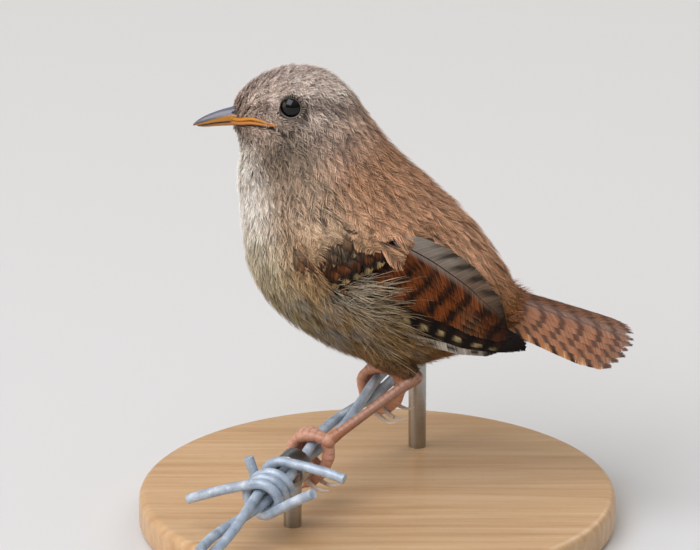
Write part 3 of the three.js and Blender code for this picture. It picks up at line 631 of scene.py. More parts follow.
WING_HIGH = np.array([
    (-3, 0.8), (0, 1.6), (6, 4.6), (12, 7.3), (19.6, 9.5), (24.6, 9.3), (30.1, 8.2), (35.5, 5.7),
    (39.6, 2.9), (44, 0.4),
])
WING_BEFORE, WING_END = 2.5, 44  # how far the outline reaches ahead of the wing's bend, and behind it
SHEET_CURVE = 34  # twice the radius of the bend across the folded wing


def body_grid(t, turn):
    """Points of the coat's surface: turn 0 is the back, pi the breast, and the left side is above pi."""
    back, front = curve_at(STATIONS[:, 0:2], t), curve_at(STATIONS[:, 2:4], t)
    half = curve_at(np.column_stack([3.0 * np.arange(LAST + 1), STATIONS[:, 4]]), t)[:, 1]
    middle, reach = (back + front) / 2, (back - front) / 2
    cos, sin = np.cos(turn), np.sin(turn)
    return np.stack([
        middle[:, :1] + reach[:, :1] * cos, half[:, None] * sin, middle[:, 1:] + reach[:, 1:] * cos
    ], -1)


class Form:
    """A closed form read at (row, turn): points, ways out, and how many mm one unit of each spans."""

    def __init__(self, rows, turns, points):
        self.first, self.step = rows[0], rows[1] - rows[0]
        self.count, self.turns = len(rows), len(turns)
        wrapped = np.concatenate([points[:, -1:], points, points[:, :2]], 1)
        by_row = np.gradient(points, axis=0) / self.step
        by_turn = (wrapped[:, 2:-1] - wrapped[:, :-3]) / (4 * np.pi / self.turns)
        out = np.cross(by_turn, by_row)
        out /= np.linalg.norm(out, axis=2)[..., None] + 1e-9
        centre = points.mean(1, keepdims=True)
        out *= np.where(np.einsum("ijk,ijk->ij", out, points - centre).mean() < 0, -1, 1)
        spans = np.stack([np.linalg.norm(by_row, axis=2), np.linalg.norm(by_turn, axis=2)], -1)
        self.table = np.concatenate([points, out, np.maximum(spans, 0.05)], 2)

    def at(self, row, turn):
        i = np.clip((row - self.first) / self.step, 0, self.count - 1.001)
        j = np.mod(turn, 2 * np.pi) / (2 * np.pi) * self.turns
        i0, j0 = np.floor(i).astype(int), np.floor(j).astype(int) % self.turns
        j1, a, b = (j0 + 1) % self.turns, (i - i0)[..., None], (j - np.floor(j))[..., None]
        t = self.table
        low, high = (t[k, j0] * (1 - b) + t[k, j1] * b for k in (i0, i0 + 1))
        read = low * (1 - a) + high * a
        return read[..., 0:3], read[..., 3:6], read[..., 6], read[..., 7]


def table_of(pairs, at):
    return np.interp(at, pairs[:, 0], pairs[:, 1])


def smooth_table(pairs, at):
    """A table read with a smooth rise from each place to the next."""
    i = np.clip(np.searchsorted(pairs[:, 0], at) - 1, 0, len(pairs) - 2)
    return pairs[i, 1] + (pairs[i + 1, 1] - pairs[i, 1]) * eased(pairs[i, 0], pairs[i + 1, 0], at)


def sheet_depth(p, q):
    """How far the folded wing stands out from the bird's middle."""
    return smooth_table(SHEET_HALF, p) - (q - smooth_table(SHEET_MIDDLE, p)) ** 2 / SHEET_CURVE


def wing_place(points):
    """Where points lie on the folded wing, and how many mm inside its outline."""
    x, z = points[..., 0] - WING_BEND[0], points[..., 2] - WING_BEND[1]
    p, q = x * WING_ALONG[0] + z * WING_ALONG[1], x * WING_ACROSS[0] + z * WING_ACROSS[1]
    inside = np.minimum(q - table_of(WING_LOW, p), table_of(WING_HIGH, p) - q)
    return p, q, np.minimum(inside, np.minimum(p + WING_BEFORE, WING_END - p))


def coat_depth(t):
    """How far the skin lies below the coat's surface."""
    return np.interp(t, [0, 1, 3, 5, 8, 11, 14, 16], [0.3, 0.45, 0.75, 1.0, 1.5, 1.7, 1.2, 0.6])


def under_wing(points, clearance, firm=1.0):
    """Presses points in below the folded wing, fading out past its edge. Less firmly pressed, they keep
    some of their height over one another."""
    p, q, inside = wing_place(points)
    share = firm * eased(-2.6, -0.6, inside)
    limit = sheet_depth(p, q) - clearance
    y = np.abs(points[..., 1])
    pressed = np.where(y > limit, y + (limit - y) * share, y)
    return np.stack([points[..., 0], np.sign(points[..., 1]) * pressed, points[..., 2]], -1)


rows = np.linspace(-0.2, LAST, 16 * LAST + 1)
turns = round_angles(288)
# The rows before the first station reach forward over the bill's root.
before = np.minimum(rows, 0)[:, None, None] * [3.0, 0, 0]
body = Form(rows, turns, body_grid(np.maximum(rows, 0), turns) + before)

# The skin's dark colour is partly its own and partly painted shade for the gaps between feathers.
bare_skin, tree, shader = new_material("dusky_skin_and_gap_shade", Roughness=0.8, Specular_IOR_Level=0.2)
paint(tree, shader, ramp(tree, noise(tree, 1400.0, 4.0), (0.35, "3d342d"), (0.65, "6b5b4d")))

SKIN_ROWS, SKIN_SIDES = 190, 128
skin_rows = np.linspace(0.42, LAST - 0.5, SKIN_ROWS)
row_of, turn_of = np.meshgrid(skin_rows, round_angles(SKIN_SIDES), indexing="ij")
surface, out, _, _ = body.at(row_of, turn_of)
surface = under_wing(surface - out * coat_depth(row_of)[..., None], 1.0)
points = np.vstack([surface.reshape(-1, 3), surface[0].mean(0), surface[-1].mean(0)])
outward = np.vstack([out.reshape(-1, 3), [-1, 0, 0], [1, 0, -0.3]])
sewn("skin_body", points, ring_faces(SKIN_ROWS, SKIN_SIDES), bare_skin, "plumage", "head", "neck", "torso",
     outward=outward)

KNEE = {"left": np.array([2.0, -7.5, 19.0]), "right": np.array([11.0, 6.6, 24.0])}
THIGH_RADII = np.array([(0, 4.4), (0.5, 3.5), (0.8, 2.2), (1, 1.25)])
THIGH_ROWS, THIGH_SIDES, THIGH_FRONT = 60, 96, np.array([0.5, 0.0, 1.0])
thighs = {}
for side in ("left", "right"):
    end = ANKLE[side] + (KNEE[side] - ANKLE[side]) * 0.04
    path = smooth_path([KNEE[side], (KNEE[side] + end) / 2 + [-0.2, 0, -0.3], end], THIGH_ROWS)
    place_on = np.linspace(0, 1, THIGH_ROWS)
    radii = table_of(THIGH_RADII, place_on)
    thigh = tube(path, radii, THIGH_SIDES, THIGH_FRONT)
    rings = thigh["points"][:-2].reshape(THIGH_ROWS, THIGH_SIDES, 3)
    thighs[side] = Form(place_on, round_angles(THIGH_SIDES), rings)
    inner = tube(path, radii * 0.8, 40, THIGH_FRONT)
    sew_bar("skin_thigh_" + side, inner, bare_skin, "plumage", "thigh_" + side)

# Eyes. Balls of polished glass, almost black, set in the skin behind a thin grey rim of lid that is
# modelled on and ringed with tiny feathers.
EYE = np.array([-9.15, -5.2, 56.57])
EYE_RADIUS = 2.1
EYE_OPENING = 1.72
EYE_AXIS = np.array([-0.22, -1.0, 0.04]) / np.linalg.norm([-0.22, -1.0, 0.04])
LID_OUT, LASH_OUT = 1.27, 1.15  # how far out on the eye's axis the lid's rim and its feathers lie
LID_RADIUS, LID_SIDES = 0.12, 12
LASHES = 38

glass, tree, shader = new_material("polished_dark_glass", Roughness=0.05, Specular_IOR_Level=0.45, IOR=1.4)
# A brown so dark that the iris only just shows round the pupil.
paint(tree, shader, ramp(tree, noise(tree, 900.0), (0.3, "040302"), (0.7, "0a0705")))
lid_skin, tree, shader = tinted("bare_eyelid_skin", 0.5)

for side, y in (("left", 1), ("right", -1)):
    centre, axis = EYE * [1, y, 1], EYE_AXIS * [1, y, 1]
    deselect()
    bpy.ops.mesh.primitive_uv_sphere_add(
        segments=64, ring_count=40, radius=EYE_RADIUS * MM, location=(centre + BIRD) * MM
    )
    eye = bpy.context.object
    bpy.ops.object.transform_apply(location=True, rotation=True, scale=True)
    bpy.ops.object.shade_smooth()
    finish_piece(eye, "glass_eye_" + side, glass, "eye", "eye_" + side)
    right = np.cross(axis, [0, 0, 1.0])
    right /= np.linalg.norm(right)
    above = np.cross(right, axis)
    # The opening is a little wider than it is high.
    around = np.linspace(0, 2 * np.pi, 73)
    across, rise = np.cos(around) * (EYE_OPENING + 0.1), np.sin(around) * EYE_OPENING
    ring = centre + axis * LID_OUT + (np.outer(across, right) + np.outer(rise, above))
    rim = tube(ring, LID_RADIUS, LID_SIDES, axis)
    shade = np.concatenate([np.repeat(0.5 - 0.5 * np.sin(around), LID_SIDES), [0.5, 0.5]])
    rim["tint"] = mixed("2a241f", "7d766e", shade)
    sew_bar("lid_" + side, rim, lid_skin, "eye")
    # A row of tiny stiff feathers stands round the lid, almost white below the eye.
    lashes, rng = [], np.random.default_rng(31)
    for place_on in round_angles(LASHES):
        place_on += rng.normal(0, 0.03)
        way = np.cos(place_on) * right + np.sin(place_on) * above
        first = centre + axis * LASH_OUT + way * (EYE_OPENING + 0.14)
        behind = max(0.0, -np.cos(place_on))
        length = rng.uniform(0.45, 0.6) + 0.15 * behind
        lash = tube(first + np.outer(np.linspace(0, length, 5), way - 0.3 * axis),
                    [0.07, 0.12, 0.13, 0.09, 0.02], 7, axis)
        below = np.clip(-0.1 - 1.2 * np.sin(place_on) + rng.normal(0, 0.15), 0, 1) * (1 - 0.4 * behind)
        lash["tint"] = mixed("786654", "dccfbd", np.full(len(lash["points"]), below))
        lashes.append(lash)
    sew_bar("lid_feathers_" + side, gathered(lashes), lid_skin, "plumage")

# Bill. Horn sheaths over bone: slate-lilac on the ridge, polished and almost white where it catches the
# light, orange-yellow along the cutting edges and in the fleshy corners of the gape.
UPPER_BILL = np.array([  # x, top, bottom, half-width
    (-25.6, 51.55, 51.35, 0.15), (-24.9, 52.2, 51.5, 0.45), (-23.9, 52.85, 51.75, 0.72),
    (-21.6, 53.85, 52.25, 1.1), (-19.0, 54.6, 52.6, 1.45), (-16.9, 55.0, 52.85, 1.8), (-14.0, 55.0, 53.2, 2.1),
])
LOWER_BILL = np.array([
    (-24.9, 51.35, 51.2, 0.15), (-23.9, 51.5, 51.1, 0.5), (-21.9, 51.9, 51.25, 0.85),
    (-19.4, 52.25, 51.4, 1.2), (-16.9, 52.55, 51.5, 1.6), (-14.0, 52.9, 51.6, 1.9),
])
UPPER_GAPE = np.array([
    (-19.3, 52.9), (-17.75, 53.55), (-15.9, 54.15), (-14.25, 54.15), (-12.9, 53.95), (-11.6, 53.8)
])
LOWER_GAPE = np.array([
    (-19.3, 52.3), (-17.75, 52.9), (-15.9, 53.5), (-14.25, 53.68), (-12.9, 53.7), (-11.6, 53.72)
])
GAPE = (UPPER_GAPE + LOWER_GAPE) / 2  # x, z
BILL_ROWS, SHELL_SIDES, FLOOR_SIDES = 90, 32, 8

horn, tree, shader = tinted("bill_horn", 0.3, Specular_IOR_Level=0.5, Coat_Weight=0.3, Coat_Roughness=0.12)
bump(tree, shader, noise(tree, 1.0, 2.0, (600.0, 4000.0, 4000.0)), 0.15, 0.00006)


def layered(tone, *layers):
    """Lays colours over a tone, one on another, each with its share."""
    for code, share in layers:
        share = np.clip(share, 0, 1)[..., None]
        tone = tone * (1 - share) + rgb(code) * share
    return tone


def half_oval(sections, upper):
    """One mandible: a row of half ovals, flat where the two meet, and closed at both ends."""
    x, top, bottom, half = curve_at(sections, np.linspace(0, len(sections) - 1, BILL_ROWS)).T[..., None]
    turn = np.linspace(0, np.pi, SHELL_SIDES)
    flat, round_to = (bottom, top) if upper else (top, bottom)
    lobe = np.sin(turn) ** (1.15 if upper else 0.9)
    across = np.concatenate([np.cos(turn), np.linspace(-1, 1, FLOOR_SIDES + 2)[1:-1]])
    rise = np.concatenate([lobe, np.zeros(FLOOR_SIDES)])
    ring = np.stack([np.repeat(x, len(rise), 1), half * across, flat + (round_to - flat) * rise], -1)
    points = np.vstack([ring.reshape(-1, 3), ring[0].mean(0), ring[-1].mean(0)])
    outward = np.vstack([(ring - ring.mean(1, keepdims=True)).reshape(-1, 3), [-1, 0, 0], [1, 0, 0]])
    share = np.concatenate([np.tile(rise, BILL_ROWS), [0.3, 0.3]])
    return points, ring_faces(*ring.shape[:2]), outward, share


points, faces, outward, share = half_oval(UPPER_BILL, True)
edge_top = 0.28 + 0.22 * eased(-25.2, -19.0, points[:, 0])
nostril = np.linalg.norm((points - [-18.55, 0, 53.9]) * [0.7, 0, 1.9], axis=1)
inset = (1 - eased(0.18, 0.5, nostril)) * (np.abs(points[:, 1]) > 0.4)
tone = layered(
    mixed("454148", "64606a", eased(0.45, 1.0, share)),
    ("a86d1d", 1 - eased(edge_top - 0.1, edge_top + 0.12, share)),
    # Painted shade along the flat face and the cutting edge, where the upper mandible meets the lower.
    ("7d5a2b", (1 - eased(0.0, 0.16, share)) * 0.75),
    # The nostril is pressed in and painted almost black: painted shade in its opening.
    ("1c1512", inset),
    ("3a3230", eased(-24.6, -25.5, points[:, 0]) * 0.5),
)
points = points - outward / (np.linalg.norm(outward, axis=1)[:, None] + 1e-9) * (0.3 * inset)[:, None]
sewn("bill_upper", points, faces, horn, "bill", "bill_upper", tint=tone, outward=outward)

points, faces, outward, share = half_oval(LOWER_BILL, False)
tone = layered(
    mixed("955c14", "b9761b", eased(-24.5, -17, points[:, 0])),
    # Painted shade along the top, where the lower mandible meets the upper.
    ("5b4326", (1 - eased(0.0, 0.2, share)) * 0.8),
    ("6b5b50", eased(-23.2, -24.9, points[:, 0]) * 0.7),
)
sewn("bill_lower", points, faces, horn, "bill", "bill_lower", tint=tone, outward=outward)

# Gape flanges. The soft swollen edges of the mouth, still bright in a young bird: bare tinted skin
# over a soft pad, that runs from the corner of the bill back under the feathers of the face.
FACE_STEPS, FLANGE_STEPS = 300, 60

gape_skin, tree, shader = tinted("soft_gape_skin", 0.38, Subsurface_Weight=0.15, Subsurface_Scale=0.0005)
face_row, face_turn = np.meshgrid(np.linspace(0, 6, FACE_STEPS), np.linspace(np.pi, 2 * np.pi, FACE_STEPS))
face, face_out, _, _ = (part.reshape(FACE_STEPS**2, -1) for part in body.at(face_row, face_turn))
for side, y in (("left", 1), ("right", -1)):
    strips = []
    for line, low, high in ((UPPER_GAPE, "8a4f0c", "bb7819"), (LOWER_GAPE, "81470e", "ad6d26")):
        nearest = [np.argmin(np.hypot(face[:, 0] - x, face[:, 2] - z)) for x, z in line]
        # Each flange sinks into the face towards its end.
        raised = (0.03 - 0.02 * np.arange(len(line)))[:, None]
        spots = face[nearest] + face_out[nearest] * raised
        spots[0] = line[0, 0], -0.95, line[0, 1]
        path = smooth_path(spots * [1, y, 1], FLANGE_STEPS)
        radii = np.interp(np.linspace(0, 1, FLANGE_STEPS), [0, 0.15, 0.5, 0.8, 1], [0.2, 0.3, 0.3, 0.2, 0.04])
        strip = tube(path, radii, 16, np.array([0, -y * 1.0, 0.4]))
        # Each flange is painted lighter on its outer, upper side and darker beneath: painted light and shade.
        strip["tint"] = mixed(low, high, 0.5 + 0.5 * np.cos(strip["turn"]))
        strips.append(strip)
    sew_bar("gape_" + side, gathered(strips), gape_skin, "bill")

# Tail. Twelve stiff feathers, cocked and half closed, the middle pair on top. Each is a shaft with a
# close vane of barbs, rufous brown with wavy dusky bars about 3 mm apart.
TAIL_ROOT = np.array([18.7, 0.0, 22.3])
TAIL_PITCH, TAIL_ROLL = math.radians(-19), math.radians(15)
TAIL_OUT = np.array([math.cos(TAIL_PITCH), 0, math.sin(TAIL_PITCH)])
TAIL_SIDE = (math.cos(TAIL_ROLL) * np.array([0, 1.0, 0])
             + math.sin(TAIL_ROLL) * np.cross(TAIL_OUT, [0, 1.0, 0]))
TAIL_UP = np.cross(TAIL_OUT, TAIL_SIDE)
TAIL_LENGTH = 30.3
TAIL_ARCH = 16.0
LONG_BLADE = np.array([(0, 0.5), (0.25, 0.9), (0.5, 1), (0.75, 1), (0.93, 0.75), (1, 0.25)])
SHORT_BLADE = np.array([(0, 0.6), (0.5, 1), (0.8, 0.95), (0.93, 0.65), (1, 0.12)])
VANE_FLOOR = 0.28  # the least height of a feather's vane, round which each barb is tilted
SHAFT_STEPS = 30
TAIL_BARS = 3.3  # from one bar to the next


def on_tail(u, v, h):
    """A point from its place along, across and above the arched tail."""
    rise = h - v**2 / (2 * TAIL_ARCH)
    return (TAIL_ROOT + np.multiply.outer(u, TAIL_OUT) + np.multiply.outer(v, TAIL_SIDE)
            + np.multiply.outer(rise, TAIL_UP))


def vane(place, rng, root, tip, half, lift, tuck, bend=0.0, spacing=0.2, blade=LONG_BLADE, fray=0.02,
         sink=0.35, rise_by=0.12, shaft_size=1.0, narrow=1.0):
    """One flight feather as arrays: a ridged shaft and rows of barbs that overlap like slats. edge runs
    from -1 at the lifted side to 1 at the tucked side, and share from root to tip. narrow is the lifted
    web's share of the other's width, and the root lies sink mm deeper up to the share rise_by."""
    root, tip = np.array(root, float), np.array(tip, float)
    length = np.linalg.norm(tip - root)
    run = (tip - root) / length
    side = np.array([-run[1], run[0]])
    count = max(int(length / spacing), 8)
    start = np.linspace(0.02, 0.985, count)
    sets = []
    for way in (-1, 1):
        reach = 1.2 * half / length * (1 - start) ** 0.5 + rng.normal(0, 0.15 * fray, count)
        # A few barbs part from their neighbours, as on a feather that hasn't been preened.
        parted = (rng.random(count) < 0.05) * rng.normal(0, 8.0 * fray / length, count)
        gap = np.convolve(parted, np.ones(3), "same")
        end = np.minimum(start + reach + gap, 0.999)
        width = half * table_of(blade, end) * np.sqrt(1 - np.clip((end - 0.93) / 0.075, 0, 1) ** 2 * 0.8)
        width *= (1 + rng.normal(0, fray, count)) * (narrow if way < 0 else 1)
        s = np.array([0.0, 0.5, 1.0])
        a = start[:, None] + (end - start)[:, None] * s
        c = way * width[:, None] * s**0.9
        slat = 0.68 * spacing / length
        grain = np.repeat(rng.random(count)[:, None], 3, 1)
        level = rng.normal(0, 0.012, count)[:, None] * s
        for fore, up in ((-slat, -0.02), (slat, 0.035)):
            sets.append((a + fore * (1 - 0.12 * s), c, level + up, grain))
    across = np.array([-1.0, 0.0, 1.0])
    a = np.repeat(np.linspace(0, 0.97, SHAFT_STEPS)[:, None], 3, 1)
    girth = shaft_size * (0.13 * (1 - a) ** 0.6 + 0.035)
    shaft = (a, girth * across, 0.03 + girth * 0.8 * (1 - np.abs(across)), np.full(a.shape, 0.5))
    arrays, quads, part, shift = [], [], [], 0
    n = count * 3
    for first in (0, 2):
        i = (np.arange(count)[:, None] * 3 + np.arange(2)).ravel() + shift
        quads.append(np.column_stack([i, i + n, i + n + 1, i + 1]))
        arrays += sets[first : first + 2]
        part += [np.zeros(n)] * 2
        shift += 2 * n
    i = (np.arange(SHAFT_STEPS - 1)[:, None] * 3 + np.arange(2)).ravel() + shift
    quads.append(np.column_stack([i, i + 3, i + 4, i + 1]))
    arrays.append(shaft)
    part.append(np.ones(shaft[0].size))
    a, c, up, grain = (np.concatenate([x[k].ravel() for x in arrays]) for k in range(4))
    edge = np.clip(c / half, -1, 1)
    h = lift + (tuck - lift) * (edge + 1) / 2 + up + 0.1 * (1 - edge**2) * min(1, half / 1.5)
    h = np.maximum(h - sink * (1 - eased(0, rise_by, a)), VANE_FLOOR + up)
    spot = root + np.outer(np.clip(a, 0, 1) * length, run) + np.outer(c + bend * np.sin(np.pi * a), side)
    points = place(spot[:, 0], spot[:, 1], h)
    return {
        "points": points, "outward": place(spot[:, 0], spot[:, 1], h + 0.2) - points, "quads": np.vstack(quads),
        "share": a, "edge": edge, "part": np.concatenate(part), "grain": grain, "mm": a * length, "spot": spot,
    }


def dressed(name, feathers, material, slot, node):
    """Sews painted feathers into one piece, each with its own strip of the bake map."""
    joined = {key: np.vstack([feather[key] for feather in feathers]) for key in ("points", "outward", "tint")}
    shifts = np.cumsum([0] + [len(feather["points"]) for feather in feathers])
    quads = np.vstack([feather["quads"] + shift for feather, shift in zip(feathers, shifts)])
    bake = np.vstack([
        np.column_stack([(k + 0.5 + 0.42 * feather["edge"]) / len(feathers),
                         0.02 + 0.96 * np.clip(feather["share"], 0, 1)])
        for k, feather in enumerate(feathers)
    ])
    sewn(name, joined["points"], [quads], material, slot, node, tint=np.clip(joined["tint"], 0, 1),
         bake=bake, outward=joined["outward"])


def bars(feather, spacing, dark, phase=0.0, slant=0.5, wave=0.25):
    """0 between bars and 1 in them: dark is a bar's share of the spacing."""
    at = feather["mm"] + slant * np.abs(feather["edge"]) + phase + wave * np.sin(2.3 * feather["edge"] + phase)
    place_in = np.abs(np.mod(at / spacing, 1) - 0.5) * 2
    return eased(1 - dark - 0.12, 1 - dark + 0.12, place_in + (feather["grain"] - 0.5) * 0.12)


def grained(feather, tone, amount):
    """Each barb a little lighter or darker than the next."""
    return tone * (1 + amount * (feather["grain"] - 0.5) * 2)[:, None]


quill, tree, shader = tinted("flight_feather_vane", 0.6, Specular_IOR_Level=0.12)

rng = np.random.default_rng(11)
feathers = []
for i in range(5, -1, -1):
    for side in (-1, 1):
        spread = i + (0.1 if side > 0 else 0.0)
        level = (1.6 - 0.2 * i, 1.8 - 0.2 * i)
        feather = vane(
            on_tail, rng, (0, side * (0.5 + 0.42 * i)),
            (TAIL_LENGTH - 0.1 * spread**2 + rng.normal(0, 0.15), side * (0.9 + 1.22 * spread)), 1.75,
            *(level if side < 0 else level[::-1]), bend=side * 0.12 * i, blade=SHORT_BLADE, fray=0.012,
        )
        outer = feather["edge"] * side
        shift = 0.45 * i + 0.3 * side + rng.uniform(-0.5, 0.5)
        bar = bars(feather, TAIL_BARS, 0.34, phase=shift, slant=-0.9, wave=0.6)
        layers = [
            ("382c28", bar * (0.72 - 0.3 * eased(-0.2, -0.9, outer))),
            ("b08a6c", (1 - bar) * 0.25 * feather["grain"]),
        ]
        if i == 5:
            # The outermost pair has bright, almost black and buff bars along its rim.
            rim = eased(0.35, 0.75, outer)
            buff = bars(feather, TAIL_BARS, 0.12, phase=1.1 + shift, slant=-0.9, wave=0.6)
            layers += [("b3713b", rim * (1 - bar)), ("17110d", rim * bar), ("d6bf9f", rim * 0.7 * buff)]
        tone = mixed("7d655b" if i < 3 else "7b5f50", "a0623c", 0.2 + 0.7 * eased(0.0, 0.9, outer))
        tone = grained(feather, layered(tone, *layers), 0.16)
        shaft_tone = mixed("5c463a", "76594a", feather["share"])
        feather["tint"] = np.where(feather["part"][:, None] > 0, shaft_tone, tone)
        feathers.append(feather)
dressed("tail_feathers", feathers, quill, "tail", "tail")

# Wings. Folded against the flanks: six showing primaries with pale checks along their black outer
# webs, barred rufous secondaries, grey-brown tertials, and rows of coverts tipped with buff.
TERTIAL_BLADE = np.array([(0, 0.45), (0.2, 0.8), (0.5, 1), (0.75, 0.92), (0.9, 0.7), (1, 0.2)])
ROUND_BLADE = np.array([(0, 0.6), (0.4, 0.95), (0.8, 1.0), (0.92, 0.85), (1, 0.4)])
PRIMARY_LINES = [
    ((15, -7.9), (39.8, -2.4)), ((10, -6.3), (41.2, -1.3)), ((9, -4.7), (42.2, -0.8)),
    ((8.6, -2.9), (43.1, -0.2)), ((8.4, -2.3), (43.8, 0.3)), ((8.6, -1.6), (43.4, 0.8)),
]
RUFOUS_BARS = (14.4, 3.7, 0.42)  # the first bar's place, the spacing, and a bar's half-width


def on_wing(p, q, h, y=1):
    """A point from its place along, across and above the folded wing: the left one for y 1, the right
    one for y -1."""
    step = 0.5
    slope_p = (sheet_depth(p + step, q) - sheet_depth(p - step, q)) / (2 * step)
    slope_q = (sheet_depth(p, q + step) - sheet_depth(p, q - step)) / (2 * step)
    size = np.sqrt(slope_p**2 + slope_q**2 + 1)
    pp, qq = p - slope_p / size * h, q - slope_q / size * h
    out = sheet_depth(p, q) + h / size
    return np.stack([
        WING_BEND[0] + pp * WING_ALONG[0] + qq * WING_ACROSS[0],
        -out * y,
        WING_BEND[1] + pp * WING_ALONG[1] + qq * WING_ACROSS[1],
    ], -1)


def across_bars(feather, first, spacing, dark, stray=0.0):
    """Bars that run on from feather to feather across the folded wing, 1 in them and 0 between."""
    p, q = feather["spot"].T
    at = p - 0.35 * q - first + stray + 0.25 * np.sin(1.9 * q + stray)
    place_in = np.abs(np.mod(at / spacing + 0.5, 1) - 0.5) * 2
    return eased(dark + 0.14, dark - 0.14, place_in + (feather["grain"] - 0.5) * 0.2)


def primary(feather, i):
    """The lowest shows a pale web with dark checks, the others a black one with paler checks."""
    share, edge, grain = feather["share"], feather["edge"], feather["grain"]
    if i == 0:
        spots_on = across_bars(feather, 16.2, 3.0, 0.45) * eased(0.3, -0.1, np.abs(edge + 0.45) - 0.25)
        dark = np.maximum(spots_on, eased(0.86, 0.94, share))
        return layered(mixed("91877b", "b3a797", grain), ("261c15", dark))
    web = eased(-0.15, -0.35, edge)
    check = across_bars(feather, 15.6, 3.1, 0.36, stray=0.3 * i)
    code, amount = {1: ("4d361f", 0.4), 2: ("ad9568", 0.9), 3: ("5c3618", 0.5)}.get(i, ("351d0d", 0.6))
    rim = eased(0.5, 0.2, np.abs(edge + 0.62)) if i < 4 else web
    pale = web * check * eased(0.93, 0.84, share) * amount * rim
    return layered(mixed("0d0805", "170e09", grain), (code, pale))


def secondary(feather, i):
    share, edge = feather["share"], feather["edge"]
    bar = across_bars(feather, *RUFOUS_BARS, stray=0.25 * math.sin(2.3 * i))
    return layered(
        mixed("50240b", "763b13", feather["grain"] * 0.6 + 0.4 * eased(0.4, -0.8, edge)),
        ("120a05", np.maximum(bar * 0.95, eased(0.9, 0.98, share) * 0.7)),
        ("180e08", eased(0.1, 0.7, edge) * 0.75),
        ("26150b", eased(0.55, 0.9, share) * 0.6),
        ("7a5233", eased(-0.8, -0.95, edge) * eased(0.6, 0.75, share) * 0.6),
    )


def tertial(feather, i):
    """Rufous and barred on the lifted web and dull brown on the other, which is grey in the uppermost."""
    share, edge = feather["share"], feather["edge"]
    dull = mixed("5a4030", "3b2a1e", share)
    if i == 2:
        bar = bars(feather, 3.4, 0.42, phase=0.9, slant=-2.2, wave=1.1)
        dull = layered(
            mixed("998e83", "7d6a58", share * 1.5),
            ("5e4430", eased(0.5, 0.8, share) * 0.6),
            ("1d1510", bar * 0.85 * eased(0.36, 0.5, share + 0.12 * edge) * eased(0.1, 0.5, edge)),
            ("2a1e17", eased(0.8, 0.97, edge) * 0.35),
        )
    rufous = mixed("552a10", "743c19", feather["grain"])
    rufous = layered(rufous, ("140b06", across_bars(feather, *RUFOUS_BARS, stray=0.3) * 0.9))
    return layered(
        dull + (rufous - dull) * eased(0.05, -0.12, edge)[:, None],
        ("1c120b", eased(0.8, 1.0, share) * 0.7),
        ("7d5a3d", eased(-0.8, -0.95, edge) * eased(0.6, 0.8, share) * 0.5),
    )


def greater_covert(feather, i):
    share, edge = feather["share"], feather["edge"]
    bar = bars(feather, 3.0, 0.34, phase=0.8 * i, slant=0.8)
    tip = eased(0.86, 0.92, share) * eased(0.75, 0.35, np.abs(edge + 0.15))
    return layered(
        mixed("4f2b17", "6f3f1f", feather["grain"]),
        ("5f5750", eased(0.7, 0.35, share) * (0.8 if i in (4, 5) else 0.0)),
        ("1a110b", np.maximum(bar * 0.7, eased(0.45, 0.85, np.abs(edge)) * 0.85)),
        ("120c08", eased(0.7, 0.82, share)),
        ("94794f", tip * (0.6 + 0.4 * (i % 3) / 2)),
    )


def median_covert(feather, i):
    share, edge = feather["share"], feather["edge"]
    return layered(
        mixed("463a2f", "74644f", feather["grain"]),
        ("7c4f2f", eased(0.15, 0.6, share) * (0.75, 0.6, 0.75, 0.25, 0.1, 0.5)[i]),
        ("15100c", np.maximum(eased(0.4, 0.85, np.abs(edge)) * 0.8, eased(0.72, 0.86, share) * 0.85)),
        ("94795a", eased(0.88, 0.94, share) * eased(0.6, 0.2, np.abs(edge)) * 0.8),
    )


def wing_rows():
    """Every feather of a wing, lowest first: root, tip, half-width, lift, tuck, the rest of its shape, its
    painter, its number in its row, and its shaft's colour."""
    rows = []
    for i, (root, tip) in enumerate(PRIMARY_LINES):
        rows.append((root, tip, 1.5, 0.7 + 0.09 * i, 0.35, dict(bend=-0.2, fray=0.008), primary, i,
                     "8f8272" if i == 0 else "0f0a07"))
    for i in range(6):
        rows.append(((11 + 0.8 * i, -0.7 + 1.2 * i), (40.4 - 0.65 * i, 0.6 + 0.42 * i), 1.8,
                     1.3 + 0.06 * i, 0.75, dict(bend=0.4 * i), secondary, i, "1c110a"))
    shape = dict(bend=0.7, narrow=0.65, fray=0.015, blade=TERTIAL_BLADE, shaft_size=0.6)
    for i in range(3):
        rows.append(((13.6 - 0.2 * i, 4.6 + 0.85 * i), (38.4 - 0.8 * i, 1.8 + 0.5 * i), 2.5 + 0.2 * i,
                     1.8 + 0.1 * i, 1.2, shape, tertial, i, "2a201b"))
    for i in range(3):
        rows.append(((4.6 - 0.3 * i, -3.4 - 0.9 * i), (15.5 - 3.2 * i, -4.4 - 0.5 * i), 1.25, 1.35, 1.0,
                     dict(blade=SHORT_BLADE, fray=0.06), greater_covert, i, "1a120d"))
    shape = dict(blade=ROUND_BLADE, fray=0.06, spacing=0.18, sink=1.2, rise_by=0.4, shaft_size=0.7)
    for i in range(7):
        rows.append(((2.6 + 0.75 * i, -4.7 + 1.5 * i), (9.6 + 0.95 * i, -5.4 + 1.6 * i), 1.5, 2.15, 1.5,
                     shape, greater_covert, i, "2c1c12"))
    shape = dict(blade=ROUND_BLADE, fray=0.1, spacing=0.18, sink=1.5, rise_by=0.5, shaft_size=0.5)
    for i in range(6):
        rows.append(((0.6 + 0.7 * i, -3.2 + 1.25 * i), (6.3 + 0.9 * i, -4.0 + 1.5 * i), 1.5, 2.4, 1.7,
                     shape, median_covert, i, "3a322c"))
    return rows


